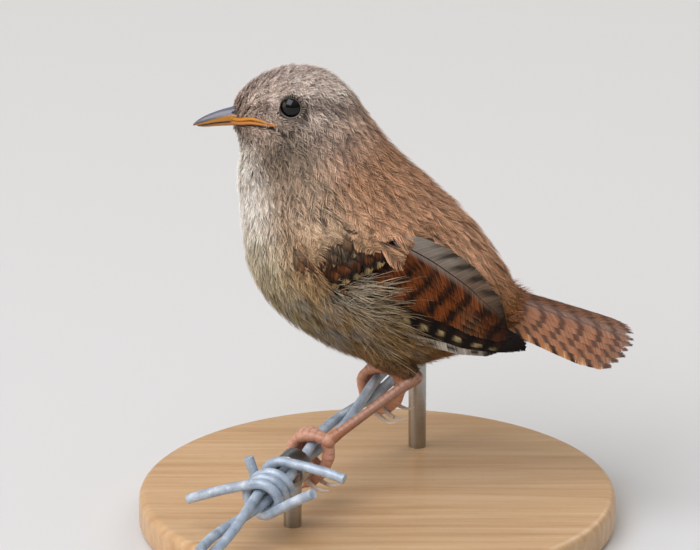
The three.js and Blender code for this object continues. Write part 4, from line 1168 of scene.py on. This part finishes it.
for name, y in (("left", 1), ("right", -1)):
    rng = np.random.default_rng(23)
    quills, coverts = [], []
    for root, tip, half, lift, tuck, shape, painter, i, shaft_code in wing_rows():
        feather = vane(lambda p, q, h, y=y: on_wing(p, q, h, y), rng, root, tip, half, lift, tuck, **shape)
        tone = grained(feather, painter(feather, i), 0.2)
        feather["tint"] = np.where(feather["part"][:, None] > 0, rgb(shaft_code), tone)
        (quills if painter in (primary, secondary, tertial) else coverts).append(feather)
    dressed("wing_quills_" + name, quills, quill, "wing", "wing_" + name)
    dressed("wing_coverts_" + name, coverts, quill, "wing", "wing_" + name)

# Coat. Several thousand small body feathers lie over one another from the bill to the tail, shortest
# on the face. Each has a thin shaft, a dusky web near its root, darkened further as painted shade,
# and soft barbs whose ends hang free.
FEATHER_LENGTH = np.array([
    (0, 0.9), (0.6, 1.2), (1, 1.5), (2, 2.0), (3.5, 2.9), (5, 4.7), (7, 7.2), (9, 9.0), (11, 9.5), (13, 8.0),
    (16, 5.0),
])
FEATHER_HALF = np.array([
    (0, 0.4), (1, 0.55), (3, 0.85), (5, 1.15), (7, 1.4), (9, 1.6), (11, 1.8), (16, 1.4)
])
FEATHER_SPACING = np.array([
    (0, 0.35), (1, 0.43), (2, 0.52), (3.5, 0.66), (5, 0.95), (7, 1.3), (9, 1.55), (16, 1.5)
])
WEB = 0.55  # share of a feather's width that its dusky web fills
SHAFT_FROM, SHAFT_END, BARBS_FROM = 12, 20, 22  # a soft feather's vertices: web, shaft, then barbs
ROW_LEAST, TURN_LEAST = 0.4, 1.2  # the mm that one row and one radian are taken to span at the least
COAT_ROWS, COAT_TRIES = (0.02, 14.6), 90000
PARTING, PARTED_TO = 1.78, 1.6  # feathers that lie nearer the eye's axis move out to the lid


def barbed(rng, length, half, barbs, steps, hair, loose):
    """Many soft feathers at once. Returns mm along and across and up for each feather and vertex, what
    each vertex is, and one feather's faces. loose is how far the barbs' ends stray."""
    n = len(length)
    long, wide = length[:, None, None], half[:, None, None]
    down = np.array([0.0, 0.3, 0.62, 0.9])[:, None]
    spread = np.array([0.25, 0.8, 0.8, 0.2])[:, None] * WEB * np.array([-1.0, 0.0, 1.0])
    web_a = np.broadcast_to(long * down, (n, 4, 3)).reshape(n, -1)
    web_b = (wide * spread).reshape(n, -1)
    web_h = np.full(web_a.shape, -0.14)
    stem_s = np.linspace(0, 0.96, 5)[:, None]
    stem_w = (0.075 * (1 - 0.8 * stem_s)) * np.array([-1.0, 1.0])
    stem_a = np.broadcast_to(long * stem_s, (n, 5, 2)).reshape(n, -1)
    stem_b = np.broadcast_to(stem_w, (n, 5, 2)).reshape(n, -1)
    stem_h = np.full(stem_a.shape, 0.03)
    u = np.tile((np.arange(barbs) + 0.5) / barbs, 2)
    way = np.repeat([-1.0, 1.0], barbs)
    wander = rng.normal(0, 1, (4, n, 2 * barbs))
    start = 0.06 + 0.86 * u
    end = start + 0.52 * (1 - 0.65 * u) + 0.5 * loose * wander[0]
    reach = np.sin(np.pi * (0.16 + 0.78 * u)) ** 0.8 * (1 + loose * 1.5 * wander[1]) * way
    s = np.linspace(0, 1, steps + 1)
    a = long * (start[:, None] + (end - start)[..., None] * s)
    b = wide * reach[..., None] * (1 - (1 - s) ** 1.6)
    da, db = np.gradient(a, axis=2), np.gradient(b, axis=2)
    size = np.hypot(da, db) + 1e-9
    girth = hair * (1 - 0.8 * s**1.5) * (1 + 0.25 * wander[2][..., None])
    h = (loose * 1.4 * np.abs(wander[3]))[..., None] * s**2 - 0.05 * (1 - s) + 0.03 * wander[2][..., None]

    def ribbon(left, right):
        """Both edges of each barb from its root out, and then its one end."""
        edges = np.stack([left, right], -1)[..., :-1, :].reshape(n, 2 * barbs, -1)
        return np.concatenate([edges, ((left + right) / 2)[..., -1:]], -1).reshape(n, -1)

    barb_a = ribbon(a - db / size * girth, a + db / size * girth)
    barb_b = ribbon(b + da / size * girth, b - da / size * girth)
    each = 2 * steps + 1
    s_of = np.tile(np.concatenate([np.repeat(s[:-1], 2), [1.0]]), 2 * barbs)
    firsts = range(BARBS_FROM, BARBS_FROM + 2 * barbs * each, each)
    strips = [*range(SHAFT_FROM, SHAFT_END, 2)]
    strips += [v for first in firsts for v in range(first, first + 2 * steps - 2, 2)]
    quads = [(v, v + 3, v + 4, v + 1) for v in (0, 1, 3, 4, 6, 7)] + [(v, v + 2, v + 3, v + 1) for v in strips]
    tris = [(v + each - 3, v + each - 1, v + each - 2) for v in firsts]
    web, shaft = SHAFT_FROM, BARBS_FROM - SHAFT_FROM
    grain = np.repeat(rng.random((n, 2 * barbs)), each, 1)
    return {
        "a": np.concatenate([web_a, stem_a, barb_a], 1),
        "b": np.concatenate([web_b, stem_b, barb_b], 1),
        "h": np.concatenate([web_h, stem_h, ribbon(h, h)], 1),
        "s": np.concatenate([np.zeros(web), np.full(shaft, 0.6), s_of]),
        "kind": np.concatenate([np.zeros(web), np.ones(shaft), np.full(len(s_of), 2)]),
        "grain": np.concatenate([np.full((n, web), 0.5), np.full((n, shaft), 0.75), grain], 1),
        "quads": np.array(quads), "tris": np.array(tris), "length": length, "half": half,
    }


def scatter(rng, form, low, high, tries, spacing, allowed):
    """Root places (row, turn), no two nearer than the spacing at their row."""
    row, turn = rng.uniform(low, high, tries), rng.uniform(0, 2 * np.pi, tries)
    points, _, by_row, by_turn = form.at(row, turn)
    gap = table_of(spacing, row)
    area = by_row * by_turn / gap**2
    keep = (rng.random(tries) < area / np.quantile(area, 0.98)) & allowed(points, row, turn)
    row, turn, points, gap = row[keep], turn[keep], points[keep], gap[keep]
    cell = gap.max()
    taken, chosen = {}, []
    around = [(i, j, k) for i in (-1, 0, 1) for j in (-1, 0, 1) for k in (-1, 0, 1)]
    for index, (x, y, z) in enumerate(np.floor(points / cell).astype(int)):
        near = (other for i, j, k in around for other in taken.get((x + i, y + j, z + k), ()))
        if all(math.dist(points[index], points[other]) >= gap[index] for other in near):
            taken.setdefault((x, y, z), []).append(index)
            chosen.append(index)
    return row[chosen], turn[chosen]


def laid(form, feather, row, turn, lean, depth, layer):
    """Carries feathers on to a form: they follow its rows, rise from the skin to the coat's surface,
    and point lean radians off the rows' way."""
    n, count = feather["a"].shape
    cos, sin = np.cos(lean)[:, None], np.sin(lean)[:, None]
    a = feather["a"] * cos - feather["b"] * sin
    b = feather["a"] * sin + feather["b"] * cos
    share = np.clip(feather["a"] / feather["length"][:, None], 0, 1.1)
    # Rows span different lengths from place to place, so the way is walked in four strides and one more
    # past the tip.
    at, strides = row.copy(), [row.copy()]
    stride = feather["length"] / 4
    for _ in range(5):
        _, _, by_row, _ = form.at(at, turn)
        at = at + stride * np.cos(lean) / np.maximum(by_row, ROW_LEAST)
        strides.append(at.copy())
    strides = np.stack(strides, 1)
    place_in = np.clip(a / stride[:, None] / cos, -0.5, 4.99)
    k = np.clip(np.floor(place_in).astype(int), 0, 4)
    lane = np.arange(n)[:, None]
    rows = strides[lane, k] + (strides[lane, k + 1] - strides[lane, k]) * (place_in - k)
    _, _, _, by_turn = form.at(rows, np.repeat(turn[:, None], count, 1))
    turns = turn[:, None] + b / np.maximum(by_turn, TURN_LEAST)
    points, out, _, _ = form.at(rows, turns)
    height = -depth(rows) * (1 - np.clip(share, 0, 1) ** 0.75) + feather["h"] + layer[:, None] * share
    return points + out * height[..., None], out, rows


def near_line(points, line, radius):
    """1 on a line drawn on the side of the head in x and z, fading to 0 at the radius."""
    best = np.full(points.shape[:-1], 99.0)
    for (x0, z0), (x1, z1) in zip(line[:-1], line[1:]):
        dx, dz = x1 - x0, z1 - z0
        along = (points[..., 0] - x0) * dx + (points[..., 2] - z0) * dz
        share = np.clip(along / (dx * dx + dz * dz), 0, 1)
        away = np.hypot(points[..., 0] - x0 - share * dx, points[..., 2] - z0 - share * dz)
        best = np.minimum(best, away)
    return 1 - eased(0.4 * radius, radius, best)


def shades(at, stops):
    """The colours of a list of places and hex colours, read at other places."""
    codes = np.array([rgb(code) for _, code in stops])
    places = [place for place, _ in stops]
    return np.stack([np.interp(at, places, codes[:, i]) for i in range(3)], -1)


# Lines on the side of the head and neck, and the colours of the coat's rows: all from bill to tail.
BROW = [(-16.5, 56.9), (-13.0, 58.9), (-9.0, 60.0), (-4.0, 59.5), (1.0, 57.4)]
EYE_STRIPE = [(-7.0, 57.0), (-3.0, 56.3), (1.5, 54.4)]
LORES = [(-16.5, 55.8), (-12.2, 56.9)]
NOSTRIL = [(-20.0, 53.6), (-19.0, 53.75)]
NAPE_STRIPE_AND_SHADE = [(-3.5, 51.5), (1.0, 49.5)]
NECK_FOLD_SHADE = [(-9.5, 47.0), (-6.5, 45.3), (-3.5, 43.0)]
BACK_TONES = [(0, "b99e8d"), (3, "cbb5a8"), (5, "dac1ae"), (7, "ba8a67"), (10, "d09c78"), (12, "a3714a"),
              (13, "86542c"), (16, "804b25")]
SIDE_TONES = [(0, "b89c86"), (2, "bda695"), (3.5, "ab9584"), (5, "837261"), (7, "b99c81"), (8.5, "a07e58"),
              (10, "836642"), (12, "6e4d2d"), (16, "664526")]
# Down the belly towards the vent the front tones darken: partly the belly's own olive-grey, partly painted
# shade on the underside.
FRONT_TONES = [(0, "97897a"), (2, "9b8d7d"), (3, "e6d9c8"), (5, "fbecdb"), (6.5, "f3e6d7"), (8, "b5a88d"),
               (9.5, "85734f"), (11, "725936"), (13, "5c4227"), (16, "523720")]


def coat_tone(rng, points, row, turn):
    """The colour of each feather, from where its tip lies."""
    n, c = len(row), np.cos(turn)
    back, tone, front = (shades(row, stops) for stops in (BACK_TONES, SIDE_TONES, FRONT_TONES))
    tone = tone + (back - tone) * eased(0.05, 0.55, c)[:, None]
    tone = tone + (front - tone) * eased(-0.35, -0.85, c)[:, None]
    tone = layered(
        tone,
        ("ebd1bd", near_line(points, BROW, 1.3) * 0.55),
        ("4a372b", near_line(points, EYE_STRIPE, 1.3) * 0.6),
        ("5f4836", near_line(points, LORES, 0.8) * 0.45),
        # A dark band on the side of the nape: partly the eye stripe running on, partly painted shade below the
        # head.
        ("6e5747", near_line(points, NAPE_STRIPE_AND_SHADE, 3.4) * 0.4),
        # A speckled band of painted shadow in the fold of the neck.
        ("35322f", near_line(points, NECK_FOLD_SHADE, 1.1) * 0.5 * (rng.random(n) < 0.6)),
        ("86827c", (rng.random(n) < 0.3) * eased(8.5, 9.5, row) * eased(0.0, -0.5, c) * 0.7),
    )
    # Mottling: broad soft patches, and each feather's own shade, strongest on the head.
    x, y, z = points.T
    patch = np.sin(1.3 * x + 2.1 * np.sin(0.7 * z)) * np.sin(1.1 * z - 0.9 * y + 1.7 * np.sin(0.5 * x))
    strength = np.interp(row, [0, 4, 6, 8], [0.24, 0.2, 0.11, 0.08])
    return tone * (1 + rng.normal(0, 1, n) * strength + 0.1 * patch)[:, None]


def barb_tone(feather, tone, barring, dusky=0.75):
    """Colours every vertex of soft feathers: dusky webs and roots and paler barb ends, partly their own colour
    and partly painted light and shade, and faint bars.
    """
    dusky = np.broadcast_to(dusky, len(tone))[:, None]
    share = feather["a"] / feather["length"][:, None]
    tint = np.repeat(tone[:, None], feather["a"].shape[1], 1)
    # Barbs are painted lighter towards their free ends and webs darker: partly their own colour, partly painted
    # light on the open ends and painted shade under the feathers above.
    light = np.where(feather["kind"] == 2, 0.95 - 0.8 * dusky + (0.55 + 0.87 * dusky) * feather["s"],
                     np.where(feather["kind"] == 1, 0.7, 0.5 - 0.4 * dusky))
    light = light * (1 + 0.9 * (feather["grain"] - 0.5))
    band = np.exp(-(((share - 0.8) / 0.07) ** 2)) + np.exp(-(((share - 0.52) / 0.07) ** 2))
    light = light * (1 - barring[:, None] * band)
    tint = tint * light[..., None]
    # Roots and webs turn dusky: partly their own colour, partly painted shade under the feathers above.
    root_dusk_and_shade = (0.5 * rgb("45403d") + 0.2 * tone[:, None]) * light[..., None]
    return tint + (root_dusk_and_shade - tint) * (dusky * eased(0.5, 0.2, share))[..., None]


soft_barb, tree, shader = tinted("soft_body_feather", 0.65, Specular_IOR_Level=0.15)


def coat_piece(name, feather, points, out, tint, home):
    """Sews soft feathers into one piece. home is each root's place on the skin's unwrap."""
    n, count = feather["a"].shape
    shift = (np.arange(n) * count)[:, None, None]
    quads = (feather["quads"][None] + shift).reshape(-1, 4)
    tris = (feather["tris"][None] + shift).reshape(-1, 3)
    along = feather["a"] / feather["length"][:, None] - 0.5
    patch = home[:, None] + 0.003 * np.stack([feather["b"] / (2.4 * feather["half"][:, None]), along], -1)
    sewn(name, points.reshape(-1, 3), [quads, tris], soft_barb, "plumage",
         tint=np.clip(tint, 0, 1).reshape(-1, 3), bake=np.clip(patch, 0.001, 0.999).reshape(-1, 2),
         outward=out.reshape(-1, 3))


def left_mirror(points):
    """What carries points of the right side over to the left side, and back."""
    return np.where(points[..., 1:2] > 0, [1.0, -1.0, 1.0], [1.0, 1.0, 1.0])


def clear_of_eye(points):
    """Parts the feathers round the eye's opening: whatever lies nearer its axis moves out to the lid."""
    centre, mirror = EYE + EYE_AXIS * 1.2, left_mirror(points)
    away = points * mirror - centre
    along_axis = away @ EYE_AXIS
    radial = away - along_axis[..., None] * EYE_AXIS
    size = np.linalg.norm(radial, axis=-1)
    near = (size < PARTING) & (np.abs(along_axis) < 4)
    moved = radial / (size + 1e-9)[..., None] * (PARTED_TO + 0.1 * size)[..., None]
    radial = np.where(near[..., None], moved, radial)
    return (centre + radial + along_axis[..., None] * EYE_AXIS) * mirror


def over_wing(points):
    """Lifts feathers that reach across the folded wing's edge on to it, but tucks those of the flank
    and vent in below the flight feathers."""
    p, q, inside = wing_place(points)
    cover = sheet_depth(p, q) + 0.4 + (0.7 + 1.5 * eased(-0.3, 1.3, inside)) * eased(-3.0, 3.5, p)
    y = np.abs(points[..., 1])
    share = 0.86 * eased(-0.9, 0.2, inside)
    raised = np.where(y < cover, y + (cover - y) * share, y)
    middle = (table_of(WING_LOW, p) + table_of(WING_HIGH, p)) / 2
    low = np.maximum(eased(9.0, 13.0, p) * eased(1.0, -1.0, q - middle), eased(16.5, 20.0, p))
    y = raised + (np.abs(under_wing(points, 0.4, 0.85)[..., 1]) - raised) * low
    return np.stack([points[..., 0], np.where(points[..., 1] < 0, -y, y), points[..., 2]], -1)


def off_gape(points):
    """1 away from the gape flanges, and 0 on them."""
    return 1 - near_line(points, GAPE - [0, 0.2], 0.95)


def beside_eye(points):
    """How far ahead of or behind the nearer eye's axis points lie, how far above it, and the distance."""
    away = points * left_mirror(points) - EYE
    away = away - (away @ EYE_AXIS)[:, None] * EYE_AXIS
    return away[:, 0], away[:, 2], np.linalg.norm(away, axis=1)


def clear_of_sight(row, turn, length):
    """Shortens the feathers ahead of the eye, so that none reaches into its opening."""
    root, _, _, _ = body.at(row, turn)
    behind, above, distance = beside_eye(root)
    towards = (behind < 0) & (np.abs(above) < 1.75) & (distance < 6)
    rim = np.sqrt(np.maximum(1.8**2 - above**2, 0))
    return np.where(towards, np.minimum(length, np.maximum(-behind - rim, 0.4)), length)


def root_allowed(points, row, turn):
    """Whether feathers may root there: not in the eye, below the wing, on the gape or in the nostril."""
    _, _, from_eye = beside_eye(points)
    p, q, inside = wing_place(points)
    off_wing = (np.minimum(inside, p - 2.2) < 0.75) | ((p > 14) & (table_of(WING_HIGH, p) - q < 2.0))
    bare = np.minimum(off_gape(points), 1 - near_line(points, NOSTRIL, 0.9))
    gape = (bare > 0.5) | (np.abs(points[:, 1]) < 0.9)
    return (from_eye > 1.9 - 0.1 * eased(-0.5, 1.0, points[:, 0] - EYE[0])) & off_wing & gape


def clear_of_wing(rng, row, turn, length):
    """Shortens feathers whose ends would reach too far across the folded wing, by unequal amounts."""
    reach = rng.uniform(-0.2, 2.3, len(row))
    for _ in range(6):
        _, _, by_row, _ = body.at(row, turn)
        halfway = row + length / 2 / np.maximum(by_row, ROW_LEAST)
        _, _, by_row, _ = body.at(halfway, turn)
        tip, _, _, _ = body.at(halfway + length / 2 / np.maximum(by_row, ROW_LEAST), turn)
        p, _, inside = wing_place(tip)
        allowed = reach * np.interp(p, [5.0, 8.0], [1.0, 0.55])
        long = (np.minimum(inside, p - 3.0) > allowed) & (p < 18.5) & (length > 2.2)
        length = np.where(long, length * 0.86, length)
    return length


rng = np.random.default_rng(7)
root_row, root_turn = scatter(rng, body, *COAT_ROWS, COAT_TRIES, FEATHER_SPACING, root_allowed)
coat_parts = [  # name, rows, turns' cosine, barbs on each side, steps in a barb, barb's half-width, looseness
    ("coat_face", (0, 2.2), (-1.1, 1.1), 9, 2, 0.045, 0.1),
    ("coat_crown", (2.2, 4.75), (0.0, 1.1), 11, 2, 0.052, 0.12),
    ("coat_cheek_throat", (2.2, 4.75), (-1.1, 0.0), 11, 2, 0.052, 0.1),
    ("coat_neck", (4.75, 6.6), (-1.1, 1.1), 20, 3, 0.053, 0.09),
    ("coat_mantle", (6.6, 9.2), (0.0, 1.1), 27, 4, 0.056, 0.06),
    ("coat_breast", (6.6, 9.2), (-1.1, 0.0), 27, 4, 0.056, 0.12),
    ("coat_back", (9.2, 12.0), (0.0, 1.1), 28, 4, 0.056, 0.07),
    ("coat_belly", (9.2, 12.0), (-1.1, 0.0), 28, 4, 0.054, 0.2),
    ("coat_rump", (12.0, 15.0), (-0.1, 1.1), 26, 3, 0.056, 0.15),
    ("coat_vent", (12.0, 15.0), (-1.1, -0.1), 26, 3, 0.054, 0.22),
]
for name, (low, high), (under, over), barbs, steps, hair, loose in coat_parts:
    c = np.cos(root_turn)
    chosen = (root_row >= low) & (root_row < high) & (c > under) & (c <= over)
    row, turn = root_row[chosen], root_turn[chosen]
    n, on_head = len(row), high < 5
    length = table_of(FEATHER_LENGTH, row) * rng.uniform(0.85, 1.15, n)
    half = table_of(FEATHER_HALF, row) * rng.uniform(0.9, 1.1, n)
    if on_head:
        length = clear_of_sight(row, turn, length)
    else:
        whole, length = length, clear_of_wing(rng, row, turn, length)
        # Of the feathers cut very short at the wing's edge, four in ten are left out.
        kept = (length > 0.45 * whole) | (rng.random(n) < 0.6)
        row, turn, length, half, n = row[kept], turn[kept], length[kept], half[kept], kept.sum()
    feather = barbed(rng, length, half, barbs, steps, hair, loose)
    layer = rng.normal(0.2, 1, n) * np.interp(row, [0, 1.5, 5], [0.05, 0.08, 0.07])
    points, out, rows = laid(body, feather, row, turn, rng.normal(0, 0.09, n), coat_depth, layer)
    tone = coat_tone(rng, points[:, SHAFT_END], np.minimum(rows[:, SHAFT_END], 15.0), turn)
    barring = 0.3 * eased(6.5, 9, row) * eased(-0.3, 0.4, np.cos(turn)) * rng.uniform(0, 1, n)
    pale_front = eased(-0.4, -0.85, np.cos(turn)) * eased(9.0, 7.5, row) * eased(2.0, 4.0, row)
    dusky = np.interp(row, [0, 1.5, 4], [0.3, 0.55, 0.75]) - 0.35 * pale_front
    tint = barb_tone(feather, tone, barring, dusky)
    points = clear_of_eye(points) if on_head else over_wing(points)
    home = np.column_stack([0.01 + 0.98 * turn / (2 * np.pi), 0.01 + 0.98 * row / LAST])
    coat_piece(name, feather, points, out, tint, home)

# Thigh coat. Short soft feathers, brown like the flank, that root in the skin of both thighs and lie
# down them to the ankle, where the bare shank comes out.
THIGH_SPACING = np.array([(0, 1.15), (1, 0.7)])


def thigh_depth(t):
    """How far the thigh's skin lies below its coat's surface."""
    return np.interp(t, [0, 1], [0.85, 0.22])


for side in ("left", "right"):
    form = thighs[side]
    row, turn = scatter(rng, form, 0.0, 0.98, 4000, THIGH_SPACING, lambda points, row, turn: row > -1)
    n = len(row)
    length = np.interp(row, [0, 1], [4.5, 1.7]) * rng.uniform(0.85, 1.15, n)
    feather = barbed(rng, length, np.interp(row, [0, 1], [1.1, 0.6]), 12, 3, 0.055, 0.15)
    lean, layer = rng.normal(0, 0.15, n), rng.normal(0.02, 0.07, n)
    points, out, _ = laid(form, feather, row, turn, lean, thigh_depth, layer)
    tone = mixed("80603f", "6b4c33", row) * (1 + rng.normal(0, 0.15, n))[:, None]
    home = np.column_stack([0.01 + 0.98 * turn / (2 * np.pi), 0.01 + 0.98 * row])
    coat_piece("coat_thigh_" + side, feather, points, out, barb_tone(feather, tone, 0.2 * rng.random(n)), home)

# Flank plumes. Loose body feathers that the wind has disturbed, with almost white barbs on slate roots.
# They root in the skin below the wing's lower edge and sweep up over the folded wing.
PLUMES = 50


def laid_flat(place, feather, root, heading, low, high, curl=0.0):
    """Carries feathers on to a flat chart of the wing or the tail, rising from low to high. curl is
    how far their ends bend aside, as a share of their length."""
    cos, sin = np.cos(heading)[:, None], np.sin(heading)[:, None]
    share = np.clip(feather["a"] / feather["length"][:, None], 0, 1.1)
    a, b = feather["a"], feather["b"] + curl * share**2 * feather["length"][:, None]
    u, v = root[:, :1] + a * cos - b * sin, root[:, 1:] + a * sin + b * cos
    h = low[:, None] + (high - low)[:, None] * share**0.7
    way = np.sign(high)[:, None]
    points = place(u, v, h + way * feather["h"])
    return points, place(u, v, h + way * 0.2) - points


for side, y in (("left", 1), ("right", -1)):
    rng = np.random.default_rng(41)
    n, across = PLUMES, rng.random(PLUMES)
    along = 4.5 + 9.0 * across + rng.normal(0, 1.2, n)
    root = np.column_stack([along, -6.2 - 2.0 * across + rng.normal(0, 1.0, n)])
    heading = 0.3 - 0.34 * across + rng.normal(0, 0.12, n)
    feather = barbed(rng, rng.uniform(8.5, 14, n), rng.uniform(1.3, 2.2, n), 12, 4, 0.036, 0.34)
    low, high = rng.uniform(-2.4, -1.2, n), rng.uniform(1.6, 2.8, n)
    points, out = laid_flat(lambda p, q, h, y=y: on_wing(p, q, h, y), feather, root, heading, low, high, 0.12)
    tone = mixed("c0b096", "83653c", across * 1.3 + rng.normal(0, 0.2, n))
    tint = barb_tone(feather, tone, np.zeros(n))
    # Some barbs are white to their ends, and the rest slate for most of their length.
    share = feather["a"] / feather["length"][:, None]
    white = np.where(feather["grain"] > 0.6, 0.3, 0.95)
    slate = eased(0.9, 0.45, share) * white * (1 - 0.5 * across)[:, None]
    tint = tint + (rgb("33343a") - tint) * slate[..., None]
    home = np.column_stack([0.5 + root[:, 0] / 60, 0.5 + root[:, 1] / 60])
    coat_piece("flank_plumes_" + side, feather, points, out, tint, home)

# Tail coverts. Soft feathers that root in rump and vent and close over the roots of the tail's quills,
# rufous above, and looser and paler below.
for name, count, first, high, dark, light in (
    ("tail_coverts_above", 60, -2.2, 2.3, "915c3c", "a16c4a"),
    ("tail_coverts_below", 50, 0.0, -1.6, "8a6a45", "a9875c"),
):
    rng = np.random.default_rng(43)
    root = np.column_stack([rng.uniform(first, first + 8, count), rng.uniform(-4.2, 4.2, count)])
    root = root[np.argsort(-root[:, 0])]
    feather = barbed(rng, rng.uniform(4.5, 6.5, count), rng.uniform(1.3, 1.8, count), 18, 3, 0.055, 0.2)
    low = high * 0.5 + rng.normal(0, 0.08, count)
    heading = root[:, 1] * 0.04 + rng.normal(0, 0.08, count)
    points, out = laid_flat(on_tail, feather, root, heading, low, high + rng.normal(0, 0.1, count))
    tone = mixed(dark, light, rng.random(count))
    home = np.column_stack([0.1 + root[:, 0] / 25, 0.5 + root[:, 1] / 12])
    coat_piece(name, feather, points, out, barb_tone(feather, tone, 0.35 * rng.random(count)), home)
